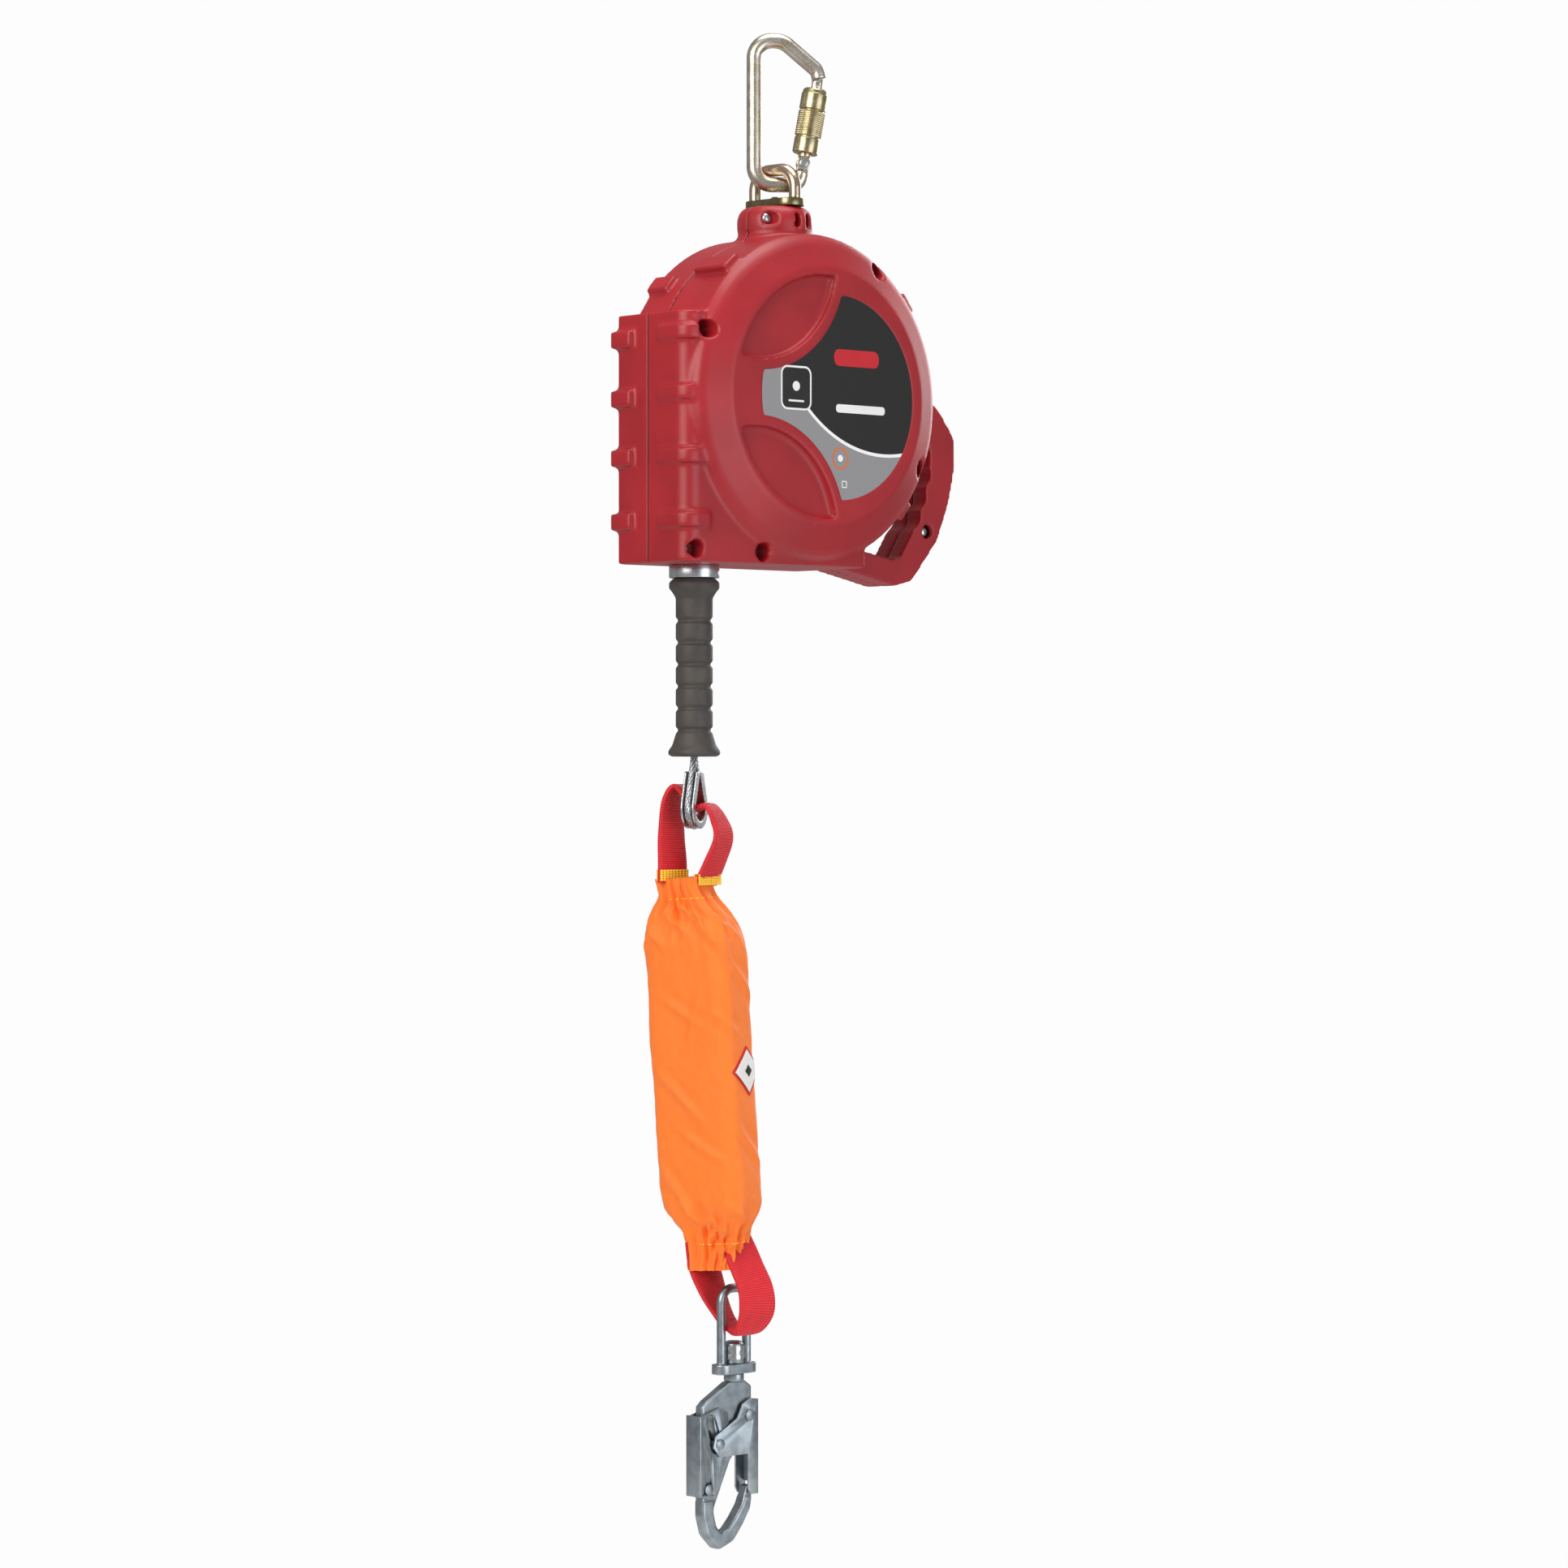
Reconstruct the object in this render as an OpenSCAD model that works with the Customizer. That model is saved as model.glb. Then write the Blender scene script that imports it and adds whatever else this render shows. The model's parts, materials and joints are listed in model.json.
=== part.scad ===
// Self retracting lifeline: anchor carabiner, swivel eye, moulded housing with drum, brake and
// power spring, wire rope with a rubber grip, webbing shock pack and double locking snap hook.
// +Z is up, the housing front faces -Y, and the origin is the bearing point of the anchor bow.

/* [Carabiner] */
// Diameter of the carabiner rod
rod_d = 11; // [10:0.5:12]
// Direction of the carabiner plane about the vertical
carabiner_turn = -36; // [-42:1:-30]
// Outside diameter of the lock sleeve
sleeve_d = 19.5; // [18:0.5:21]
// Length of the lock sleeve
sleeve_l = 47.7; // [40:0.1:50]
// Lean of the gate from the vertical
gate_lean = 9.9; // [8:0.1:12]

/* [Swivel eye] */
// Diameter of the eye rod
bail_d = 9; // [8:0.5:10]
// Distance between the leg centres of the eye
bail_w = 39; // [36:1:42]
// Direction of the eye plane about the vertical
bail_turn = -85; // [-90:1:-80]
// Diameter of the swivel stud
stud_d = 16; // [14:1:18]

/* [Housing] */
// Radius of the housing barrel
barrel_r = 117.5; // [115:0.5:120]
// Depth of the front shell from the parting plane to the label
front_depth = 57; // [56:0.5:60]
// Depth of the rear shell from the parting plane to the rear boss
rear_depth = 52; // [51:0.5:55]
// Height of the drum centre above the flat base
base_drop = 120.7; // [119:0.1:124]
// Distance from the swivel axis to the outside of the cable column
column_x = 122; // [120:0.5:126]
// Wall thickness of the moulded shells
wall = 3; // [2.5:0.1:3.2]
// Diameter of the swivel neck
neck_d = 55; // [52:0.5:58]

/* [Drum and brake] */
// Radius of the outer wrap where the lifeline leaves the drum
wrap_r = 77.8; // [77:0.1:79]
// Radius of the drum core
core_r = 58.6; // [56:0.1:60]
// Radius of the drum flanges
flange_r = 82; // [81:0.5:84]
// Diameter of the main shaft
shaft_d = 14; // [12:0.5:15]
// Number of teeth in the ratchet ring
teeth = 18; // [18:18:36]
// Number of turns of the power spring
spring_turns = 9; // [6:1:11]

/* [Lifeline end] */
// Diameter of the wire rope
rope_d = 4.8; // [4.5:0.1:5]
// Length of the rubber grip
grip_l = 126.8; // [120:0.1:130]
// Diameter of the grip barrel
grip_d = 26.4; // [25:0.1:28]
// Number of grooves in the grip
grip_grooves = 6; // [4:1:7]

/* [Shock pack] */
// Width of the pack cover
pack_w = 68; // [64:1:72]
// Thickness of the pack cover
pack_t = 38; // [36:1:42]
// Thickness of the webbing
web_t = 5; // [4.5:0.1:5.5]

/* [Snap hook] */
// Thickness of the forged hook bow
bow_t = 10; // [9:0.5:11]
// Thickness of the gate and lock plates
plate_t = 1.5; // [1.2:0.1:1.5]
// Half distance between the leg centres of the hook eye
eye_half = 12; // [12:0.5:13]

/* [Hidden] */
$fn = 48;

// radial running clearance of turning fits
run_gap = 0.06;
// depth by which the straights of a bent rod enter its bends
lap = 0.2;

// carabiner outline, in its own plane: across, up
bow_r = rod_d / 2;
hinge = [20.4, -83.2];
bow_points = [[19.4, -89.4], [17, -98.6], [-15.2, -98.6], [-15.2, bow_r], [5.5, bow_r],
    [31, -16], [32.1, -21.4]];
bow_bends = [8, 12.8, 12.8, 16, 6.5];
gate_r = 4.85;
gate_l = 60.2;
latch_z = 58.3;
slot_t = 4.4;
tongue_t = 4;
sleeve_z = 7;

// swivel eye
bail_r = bail_d / 2;
seat_z = -98.6;
bail_z = seat_z + bow_r + bail_r + 0.3;
plate_top = -110;
plate_bottom = -115.3;
stud_r = stud_d / 2;

// drum centre and the levels that hang from it
drum_z = -255.3;
neck_top = plate_bottom - 0.3;
bridge_low = 96;
bridge_high = 100;
bracket_half = 22;
bracket_front = -46;
bracket_rear = 40;
bracket_t = 4;
base_z = drum_z - base_drop;
shoulder_z = 56;
rear_step = 32;
rear_boss_r = 107;
shaft_r = shaft_d / 2;
pocket_r = 6.5;
boss_r = 8.5;
screw_spots = [for (a = [59, -25]) 110 * [cos(a), sin(a)], [-105, 43], [-111.5, -111.5],
    [-49.5, -112]];
handle_screw_spot = [139, -90];
handle_line = [[98, 26], [143, -10], [154, -24], [154.5, -40], [149, -64], [139, -90],
    [118, -118], [105, -121.5], [52, -111]];
handle_radii = [13, 13, 13, 13, 13, 12, 10, 9.5, 9];
finger_spots = [[130.3, -47.1], [125.5, -64.1], [120, -78.1]];
finger_r = 12;
rib_levels = [41, -1.5, -46, -91];
rear_rib_levels = [38.5, -3.5, -45.5, -91];
corner_r = 12;
leaf_c = [-66, 99];
leaf_r = 75;
leaf_bound = 87;
leaf_depth = 5;
label_c = 9.5;
label_r = 73.5;
label_t = 0.5;
label_recess = 0.7;

// brake and pawls
brake_r = 93;
screw_circle = 90.6;
ring_r = 88.3;
tooth_tip = 66;
tooth_root = 72;
pawl_pin_r = 2.53;
pawl_circle = 45;

// lifeline end
rope_r = rope_d / 2;
line_x = -wrap_r;
grip_top = -385.7;
grip_low = grip_top - grip_l;
thimble_z = -549.5;
thimble_r = 12.8;
apex = 38.5;
loop_turn = asin(thimble_r / apex);
thimble_turn = 27;

// the hanging chain lies along this direction
chain_turn = -42.4;
// webbing routes: along the chain, in depth, up, then width and turn of the width about Z
upper_route = [
    [-17.5, 2, -612, 27, 40], [-18.5, 3, -590, 27, 42], [-19.3, 5, -568, 27, 48],
    [-18.5, 6, -550, 24, 55], [-14.5, 5.5, -541, 18, 64], [-7, 2.6, -546, 14, 69.4],
    [0, 0, -550.3, 14, 69.4], [7, -2.6, -550.6, 14, 69.4], [13.5, -4.5, -552, 17, 68],
    [19, -4.5, -560, 22, 62], [21.5, -4, -573, 25, 60], [16, -2, -592, 26, 55],
    [7, 0, -612, 27, 52]];
lower_route = [
    [5, 12, -862, 30, 40], [7, 12, -876, 28, 40], [12, 11, -892, 25, 42],
    [18.5, 9.5, -907, 19, 44], [23.5, 5.2, -915.5, 16, 42.4], [28.2, 0, -919.5, 15, 42.4],
    [33.5, -6, -922, 17, 42.4], [41, -11, -919, 24, 36], [48.5, -14, -906, 28, 30],
    [48, -12, -890, 28, 30], [41, -6, -874, 28, 34], [35, -2, -862, 28, 38]];
pack_s = 6.7;
pack_z = -740;
pack_lean = 3.7;
pack_turn = -32;
// height, width and thickness of the cover at each level
cover_levels = [[132, 0.62, 0.66], [112, 0.82, 0.88], [85, 0.97, 1], [60, 1, 1],
    [-95, 1, 1], [-112, 0.88, 0.94], [-138, 0.62, 0.68]];

// snap hook, in its own plane: across, up
hook_s = 28.2;
gate_pivot = [8.7, -981.5];
tail_spot = [-19.7, -1000];
lock_pivot = [-29, -1031.4];
body_t = 8;
lock_y = body_t / 2 + 0.3;
gate_y = lock_y + plate_t + 0.3;
gate_out = gate_y + plate_t;
bow_line = [[-28, -1015], [-28, -1050], [-25, -1061], [-17, -1069.5], [-7, -1066],
    [1, -1057], [8, -1047], [11.5, -1034.5]];
bow_radii = [5.6, 5.6, 5.6, 5.5, 5.2, 4.8, 4.4, 3];
plate_outline = [[-8, -957], [8, -957], [13.5, -961], [13.5, -985], [11, -988.5],
    [8.7, -991], [-1, -1006], [-7, -1013], [-22.4, -1046], [-33.6, -1046],
    [-33.6, -973], [-29, -969]];
lock_outline = [[-37, -979], [-19, -974], [-11, -978], [-9, -992], [-13, -1010],
    [-22.5, -1036], [-29, -1038.5], [-37, -1036]];
gate_outline = [[2, -973], [9, -969.5], [16.6, -970.5], [16.6, -1038], [9.5, -1038],
    [7.4, -1034], [7.4, -1009], [-20, -1009], [-26, -1002], [-24, -994], [-3.4, -983]];

function unit(v) = v / norm(v);
function turn_at(a, b, c) =
    let (p = unit(b - a), q = unit(c - b)) atan2(p.x * q.y - p.y * q.x, p * q);
function blend(a, b, c, d, t) = 0.5 * (2 * b + (c - a) * t
    + (2 * a - 5 * b + 4 * c - d) * t * t + (3 * b - a - 3 * c + d) * t * t * t);
function smooth(route, steps) = [for (i = [0 : len(route) - 2], k = [0 : steps - 1])
    blend(route[max(i - 1, 0)], route[i], route[i + 1], route[min(i + 2, len(route) - 1)],
        k / steps), route[len(route) - 1]];
function at(v) = [v[0], v[1], v[2]];
// the faces of a swept tube with its last ring numbered last, two triangles to each wall
function tube_faces(last, sides) = [
    for (i = [0 : last - 1], k = [0 : sides - 1])
        let (n = (k + 1) % sides, low = i * sides, high = low + sides)
        each [[low + k, low + n, high + n], [low + k, high + n, high + k]],
    [for (k = [sides - 1 : -1 : 0]) k],
    [for (k = [0 : sides - 1]) last * sides + k]];
function helix(r, turns, length, per_turn) =
    [for (i = [0 : turns * per_turn]) let (a = 360 * i / per_turn)
        [r * cos(a), r * sin(a), length * i / (turns * per_turn)]];

// a flat outline in X and Z, given thickness from y0 to y1
module slab(y0, y1) {
    translate([0, y1, 0]) rotate([90, 0, 0]) linear_extrude(y1 - y0) children();
}

// a profile of radius and Y, turned about the Y axis
module turned() {
    rotate([-90, 0, 0]) rotate_extrude($fn = 96) children();
}

// a bar with round ends of two radii, as a flat shape
module bar(p, q, rp, rq) {
    d = norm(q - p);
    along = unit(q - p);
    across = [-along.y, along.x];
    lean = (rp - rq) / d;
    side = sqrt(1 - lean * lean);
    translate(p) circle(rp);
    translate(q) circle(rq);
    polygon([p + rp * (lean * along + side * across), q + rq * (lean * along + side * across),
        q + rq * (lean * along - side * across), p + rp * (lean * along - side * across)]);
}

// a chain of bars through the given points, as a flat shape
module bars(points, radii) {
    for (i = [0 : len(points) - 2]) bar(points[i], points[i + 1], radii[i], radii[i + 1]);
}

// a round rod bent in the XZ plane, its straights let a little way into the bends
module bent_rod(points, bends, r) {
    last = len(points) - 1;
    turns = [for (i = [1 : last - 1]) turn_at(points[i - 1], points[i], points[i + 1])];
    trims = [0, for (i = [0 : last - 2]) bends[i] * tan(abs(turns[i]) / 2), 0];
    rotate([90, 0, 0]) {
        for (i = [0 : last - 1]) {
            along = unit(points[i + 1] - points[i]);
            span = norm(points[i + 1] - points[i]) - trims[i] - trims[i + 1];
            translate(points[i] + (trims[i] - lap) * along)
                rotate([0, 0, atan2(along.y, along.x)]) rotate([0, 90, 0])
                    cylinder(h = span + 2 * lap, r = r - 0.02);
        }
        for (i = [1 : last - 1]) {
            along = unit(points[i] - points[i - 1]);
            hand = sign(turns[i - 1]);
            start = points[i] - trims[i] * along;
            centre = start + hand * bends[i - 1] * [-along.y, along.x];
            first = atan2((start - centre).y, (start - centre).x);
            translate(centre) rotate([0, 0, hand > 0 ? first : first + turns[i - 1]])
                rotate_extrude(angle = abs(turns[i - 1]))
                    translate([bends[i - 1], 0]) circle(r);
        }
    }
}

// a thin wire swept through the given points
module wire(points, r) {
    last = len(points) - 1;
    sides = 6;
    rings = [for (i = [0 : last])
        let (along = unit(points[min(i + 1, last)] - points[max(i - 1, 0)]),
            side = unit(cross(along, [0.01, 0.02, 1])), lift = cross(side, along))
        for (k = [0 : sides - 1])
            points[i] + r * (cos(360 * k / sides) * side + sin(360 * k / sides) * lift)];
    polyhedron(rings, tube_faces(last, sides));
}

// webbing along a route of [along, depth, up, width, turn]
module webbing(route, t) {
    line = smooth(route, 3);
    last = len(line) - 1;
    rings = [for (i = [0 : last])
        let (along = unit(at(line[min(i + 1, last)]) - at(line[max(i - 1, 0)])),
            wide = [cos(line[i][4]), sin(line[i][4]), 0],
            face = unit(cross(along, wide)), flat_dir = cross(face, along),
            a = flat_dir * line[i][3] / 2, b = face * t / 2, c = at(line[i]))
        each [c - a - b, c + a - b, c + a + b, c - a + b]];
    polyhedron(rings, tube_faces(last, 4));
}

module carabiner_frame() { rotate([0, 0, carabiner_turn]) children(); }
module gate_frame() {
    carabiner_frame() translate([hinge.x, 0, hinge.y]) rotate([0, gate_lean, 0]) children();
}
module drum_frame() { translate([0, 0, drum_z]) children(); }
module chain_frame() { translate([line_x, 0, 0]) rotate([0, 0, chain_turn]) children(); }
module pack_frame() {
    chain_frame() translate([pack_s, 3, pack_z]) rotate([0, -pack_lean, 0])
        rotate([0, 0, pack_turn]) children();
}
module hook_frame() {
    translate([line_x + hook_s * cos(chain_turn), hook_s * sin(chain_turn), 0]) children();
}

// ---- carabiner ----

module carabiner_body() {
    color("#c9bd9e") {
        carabiner_frame() {
            bent_rod(bow_points, bow_bends, bow_r);
            difference() {
                slab(-tongue_t / 2, tongue_t / 2)
                    bar(hinge, [19.6, -90.5], 4.6, 4);
                translate([hinge.x, 0, hinge.y]) rotate([90, 0, 0])
                    cylinder(h = 20, r = 2, center = true);
            }
        }
        gate_frame() difference() {
            translate([-4, -tongue_t / 2, latch_z - 2.5]) cube([8, tongue_t, 10.2]);
            translate([-5, -5, latch_z - 1.7]) cube([6.4, 10, 3.4]);
        }
    }
}

module carabiner_gate() {
    color("#c9bd9e") gate_frame() difference() {
        union() {
            cylinder(h = gate_l, r = gate_r);
            rotate([90, 0, 0]) cylinder(h = 2 * gate_r, r = gate_r, center = true);
        }
        translate([-10, -slot_t / 2, -10]) cube([20, slot_t, 15.4]);
        translate([-10, -slot_t / 2, latch_z - 6]) cube([20, slot_t, 20]);
        rotate([90, 0, 0]) cylinder(h = 20, r = 2 + run_gap, center = true);
        translate([0, 0, latch_z]) rotate([90, 0, 0]) cylinder(h = 20, r = 1.3, center = true);
        translate([0, 0, 12]) cylinder(h = 26, r = 2.4);
    }
}

module gate_rivet() {
    color("#b8b4a4") gate_frame() rotate([90, 0, 0]) {
        cylinder(h = 2 * gate_r, r = 2, center = true);
        for (side = [-1, 1]) translate([0, 0, side * (gate_r + 0.6)])
            cylinder(h = 1.2, r = 3, center = true);
    }
}

module latch_pin() {
    color("#b8b4a4") gate_frame() translate([0, 0, latch_z])
        rotate([90, 0, 0]) cylinder(h = 9, r = 1.3, center = true);
}

module gate_spring() {
    color("#9a9a96") gate_frame() translate([0, 0, 12.5]) wire(helix(1.7, 8, 24, 10), 0.4);
}

module sleeve_spring() {
    color("#9a9a96") gate_frame() translate([0, 0, 16]) wire(helix(6.1, 6, 22, 14), 0.7);
}

module lock_sleeve() {
    color("#b5a46c") gate_frame() translate([0, 0, sleeve_z]) rotate_extrude($fn = 96)
        polygon([[gate_r + 0.08, 0], [sleeve_d / 2 - 1, 0], [sleeve_d / 2, 1],
            [sleeve_d / 2, sleeve_l - 1.5], [sleeve_d / 2 - 1.5, sleeve_l],
            [gate_r + 0.08, sleeve_l], [gate_r + 0.08, 33], [7.4, 33], [7.4, 7],
            [gate_r + 0.08, 7]]);
}

// ---- swivel eye ----

module swivel_eye() {
    half = bail_w / 2;
    color("#c8ae8c") rotate([0, 0, bail_turn])
        bent_rod([[-half, plate_top + lap], [-half, bail_z], [half, bail_z],
            [half, plate_top + lap]], [14, 14], bail_r);
}

module swivel_plate() {
    color("#8d8468") rotate([0, 0, bail_turn]) translate([0, 0, plate_bottom]) difference() {
        union() {
            for (side = [-1, 1]) translate([side * 14, 0, 0])
                cylinder(h = plate_top - plate_bottom, r = 11);
            translate([-14, -11, 0]) cube([28, 22, plate_top - plate_bottom]);
        }
        translate([0, 0, -1]) cylinder(h = 10, r = stud_r);
    }
}

module swivel_stud() {
    color("#a79f86") {
        translate([0, 0, drum_z + 87]) cylinder(h = plate_top - drum_z - 87, r = stud_r);
        translate([0, 0, plate_top]) cylinder(h = 1, r = 4.2);
        translate([0, 0, plate_top + 1]) cylinder(h = 1.4, r1 = 3.6, r2 = 2.2);
    }
}

module swivel_nut() {
    color("#8f8f8c") translate([0, 0, drum_z + 88]) difference() {
        cylinder(h = 7, r = 13.8, $fn = 6);
        translate([0, 0, -1]) cylinder(h = 9, r = stud_r);
    }
}

module swivel_bushing() {
    color("#b0803c") drum_frame() difference() {
        union() {
            translate([0, 0, bridge_low - 0.7]) cylinder(h = 0.7, r = 13);
            translate([0, 0, bridge_low]) cylinder(h = 12, r = 10);
        }
        translate([0, 0, 90]) cylinder(h = 20, r = stud_r + run_gap);
    }
}

// ---- housing ----

module handle_line_shape(shrink) {
    difference() {
        bars(handle_line, [for (r = handle_radii) r - shrink]);
        for (p = finger_spots) translate(p) circle(finger_r + shrink);
    }
}

module silhouette(shrink) {
    circle(barrel_r - shrink, $fn = 96);
    translate([-column_x + shrink, -base_drop + shrink])
        square([column_x + 50 - 2 * shrink, base_drop + shoulder_z - 2 * shrink]);
}

module leaf(side, grow) {
    intersection() {
        circle(leaf_bound + grow, $fn = 96);
        translate([leaf_c.x, side * leaf_c.y]) circle(leaf_r + grow, $fn = 96);
    }
}

module label_shape(grow) {
    difference() {
        translate([label_c, 0]) circle(label_r + grow, $fn = 96);
        for (side = [-1, 1]) translate([leaf_c.x, side * leaf_c.y])
            circle(leaf_r + 8 - grow, $fn = 96);
    }
}

// the front barrel outside the base plate, grown inwards by the wall for the cavity
module front_barrel(shrink) {
    rim = 12;
    turned() polygon([[0, 0], [barrel_r - shrink, 0],
        for (a = [0 : 22.5 : 67.5]) [barrel_r - rim, -38] + (rim - shrink) * [cos(a), -sin(a)],
        [92, -front_depth + shrink], [0, -front_depth + shrink]]);
}

module rear_barrel(shrink) {
    turned() polygon([[0, 0], [barrel_r - shrink, 0], [barrel_r - shrink, rear_step - shrink],
        [rear_boss_r - shrink, rear_step + 4 - shrink], [rear_boss_r - shrink, rear_depth - 4],
        [rear_boss_r - 4, rear_depth - shrink], [0, rear_depth - shrink]]);
}

module neck() {
    r = neck_d / 2;
    top = neck_top - drum_z;
    rotate_extrude($fn = 96) polygon([[0, 0], [r - 1, 0], [r - 1, top - 20], [r, top - 16],
        [r, top - 9], [r - 1.5, top - 4.5], [r - 4, top - 1.6], [r - 7.5, top], [0, top]]);
    translate([0, 0, 106]) cylinder(h = 13, r1 = 36, r2 = r - 1);
}

// what a rounded vertical corner of the cable column leaves out
module corner_cut() {
    translate([-column_x, -42, -base_drop - 1]) difference() {
        translate([-1, -1, 0]) cube([corner_r + 1, corner_r + 1, base_drop + shoulder_z + 2]);
        translate([corner_r, corner_r, -1])
            cylinder(h = base_drop + shoulder_z + 4, r = corner_r);
    }
}

// half of the neck on one side of the parting plane
module half_neck(side) {
    intersection() {
        neck();
        translate([-60, side > 0 ? 0 : -60, 0]) cube([120, 60, 200]);
    }
}

// clear space round the frame, stud and nut under the neck
module neck_space() {
    translate([0, 0, 80]) cylinder(h = 70, r = stud_r + 1.2);
    translate([-bracket_half - 1, bracket_front - 1, 60])
        cube([2 * bracket_half + 2, bracket_rear - bracket_front + bracket_t + 1, 41]);
    translate([0, 0, 100]) cylinder(h = 9, r = 10.4);
}

module ring_space() {
    translate([line_x, 0, -base_drop - 20]) cylinder(h = 40, r = 13);
}

module screw_posts(y0, y1) {
    slab(y0, y1) for (p = screw_spots) translate(p) circle(boss_r);
}

module front_housing() {
    color("#a8242b") drum_frame() difference() {
        union() {
            front_barrel(0);
            difference() {
                slab(-42, 0) silhouette(0);
                corner_cut();
            }
            slab(-15, 0) handle_line_shape(0);
            half_neck(-1);
            for (z = rib_levels) difference() {
                translate([-column_x - 3, -45, z - 5]) cube([24, 32, 10]);
                translate([-column_x - 4, -46, z - 6]) difference() {
                    cube([corner_r, corner_r, 12]);
                    translate([corner_r + 1, corner_r + 1, -1]) cylinder(h = 14, r = corner_r);
                }
            }
            for (a = [130, 38, -40]) rotate([0, -a, 0])
                translate([barrel_r - 4, -40, -8]) cube([9.5, 34, 16]);
        }
        difference() {
            union() {
                translate([0, 0.5, 0]) front_barrel(wall);
                slab(-42 + wall, 1) intersection() {
                    silhouette(wall);
                    translate([-200, -200]) square([250, 400]);
                }
            }
            screw_posts(-50, 2);
            translate([-column_x, -43, -base_drop]) cube([9, 10, base_drop + shoulder_z]);
            for (side = [-1, 1]) slab(-60, -front_depth + leaf_depth + wall) leaf(side, wall);
        }
        slab(-10, 1) intersection() {
            handle_line_shape(wall);
            translate([110, -200]) square([100, 300]);
        }
        neck_space();
        ring_space();
        for (side = [-1, 1]) slab(-70, -front_depth + leaf_depth) leaf(side, 0);
        slab(-70, -front_depth + label_recess) label_shape(0.3);
        slab(-70, -27) for (p = screw_spots) translate(p) circle(pocket_r);
        slab(-60, 1) for (p = screw_spots) translate(p) circle(2.1);
        slab(-60, -9) translate(handle_screw_spot) circle(5);
        slab(-60, 1) translate(handle_screw_spot) circle(2.1);
        for (side = [-1, 1]) translate([side * 20, 0, 129.7]) rotate([90, 0, 0]) {
            cylinder(h = 40, r = 2.1);
            translate([0, 0, 12]) cylinder(h = 40, r = 4.6);
        }
        for (x = [-1.5, 9.5]) translate([x - 2.7, -40, 123.5]) cube([5.4, 26, 10.5]);
    }
}

module rear_housing() {
    color("#a8242b") drum_frame() difference() {
        union() {
            rear_barrel(0);
            slab(0, rear_step) silhouette(0);
            slab(0, 15) handle_line_shape(0);
            half_neck(1);
            for (z = rear_rib_levels) translate([-column_x - 5, 14, z - 6]) cube([20, 21, 12]);
            rotate([0, -138, 0]) translate([barrel_r - 4, 12, -7]) cube([8, 22, 14]);
        }
        difference() {
            union() {
                translate([0, -0.5, 0]) rear_barrel(wall);
                slab(-1, rear_step - wall) intersection() {
                    silhouette(wall);
                    translate([-200, -200]) square([250, 400]);
                }
            }
            screw_posts(-2, 40);
        }
        slab(-1, 10) intersection() {
            handle_line_shape(wall);
            translate([110, -200]) square([100, 300]);
        }
        neck_space();
        ring_space();
        slab(rear_depth - label_recess, rear_depth + 1) translate([-45, -30]) square([90, 60]);
        slab(-1, 20) for (p = screw_spots) translate(p) circle(2.1);
        slab(-1, 11) translate(handle_screw_spot) circle(2.1);
        for (side = [-1, 1]) translate([side * 20, 16, 129.7]) rotate([90, 0, 0])
            cylinder(h = 17, r = 2.1);
    }
}

module front_label() {
    color("#2e2a28") drum_frame()
        slab(-front_depth + label_recess - label_t, -front_depth + label_recess) label_shape(0);
}

module rear_label() {
    color("#d9d6cf") drum_frame()
        slab(rear_depth - label_recess, rear_depth - label_recess + label_t)
            translate([-44.5, -29.5]) square([89, 59]);
}

// a pan head screw along Y with its head at the front
module case_screw(head_y, tip_y) {
    slab(head_y, tip_y) circle(2.05);
    slab(head_y - 2.6, head_y) circle(4);
}

module housing_screws() {
    color("#c8c8c8") drum_frame() {
        for (p = screw_spots) translate([p.x, 0, p.y]) case_screw(-27, 18);
        translate([handle_screw_spot.x, 0, handle_screw_spot.y]) case_screw(-9, 10);
    }
}

module neck_screws() {
    color("#c8c8c8") drum_frame()
        for (side = [-1, 1]) translate([side * 20, 0, 129.7]) case_screw(-12, 14);
}

module outlet_ring() {
    color("#b9bcbd") translate([line_x, 0, 0]) difference() {
        union() {
            translate([0, 0, grip_top + 0.3]) cylinder(h = base_z - grip_top - 0.3, r = 18);
            translate([0, 0, base_z]) cylinder(h = wall + 3, r = 13);
        }
        translate([0, 0, grip_top - 1]) cylinder(h = 40, r = 8);
    }
}

module cable_guide() {
    color("#e8e4d8") translate([line_x, 0, 0]) difference() {
        union() {
            translate([0, 0, grip_top + 1]) cylinder(h = 20, r = 8);
            translate([0, 0, base_z + wall + 3]) cylinder(h = 3, r = 12);
        }
        translate([0, 0, grip_top - 1]) cylinder(h = 40, r = rope_r + 0.5);
    }
}

module frame_bracket() {
    color("#9ea2a4") drum_frame() difference() {
        union() {
            translate([-bracket_half, bracket_front, bridge_low])
                cube([2 * bracket_half, bracket_rear - bracket_front + bracket_t,
                    bridge_high - bridge_low]);
            for (y = [bracket_front, bracket_rear]) slab(y, y + bracket_t) {
                circle(bracket_half);
                translate([-bracket_half, 0]) square([2 * bracket_half, bridge_high]);
            }
        }
        translate([0, 0, 90]) cylinder(h = 20, r = 10);
        slab(-60, 60) circle(shaft_r);
    }
}

module main_shaft() {
    color("#b4b7b9") drum_frame() {
        slab(-50.5, 48.5) circle(shaft_r);
        slab(-29.9, -18.4) circle(10);
    }
}

module shaft_nuts() {
    color("#8f8f8c") drum_frame() for (y = [bracket_front - 4, bracket_rear + bracket_t])
        slab(y, y + 4) difference() {
            circle(12.1, $fn = 6);
            circle(shaft_r);
        }
}

module spring_arbor() {
    color("#8f8f8c") drum_frame() slab(20.5, bracket_rear) difference() {
        circle(11);
        circle(shaft_r);
    }
}

// ---- brake ----

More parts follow.
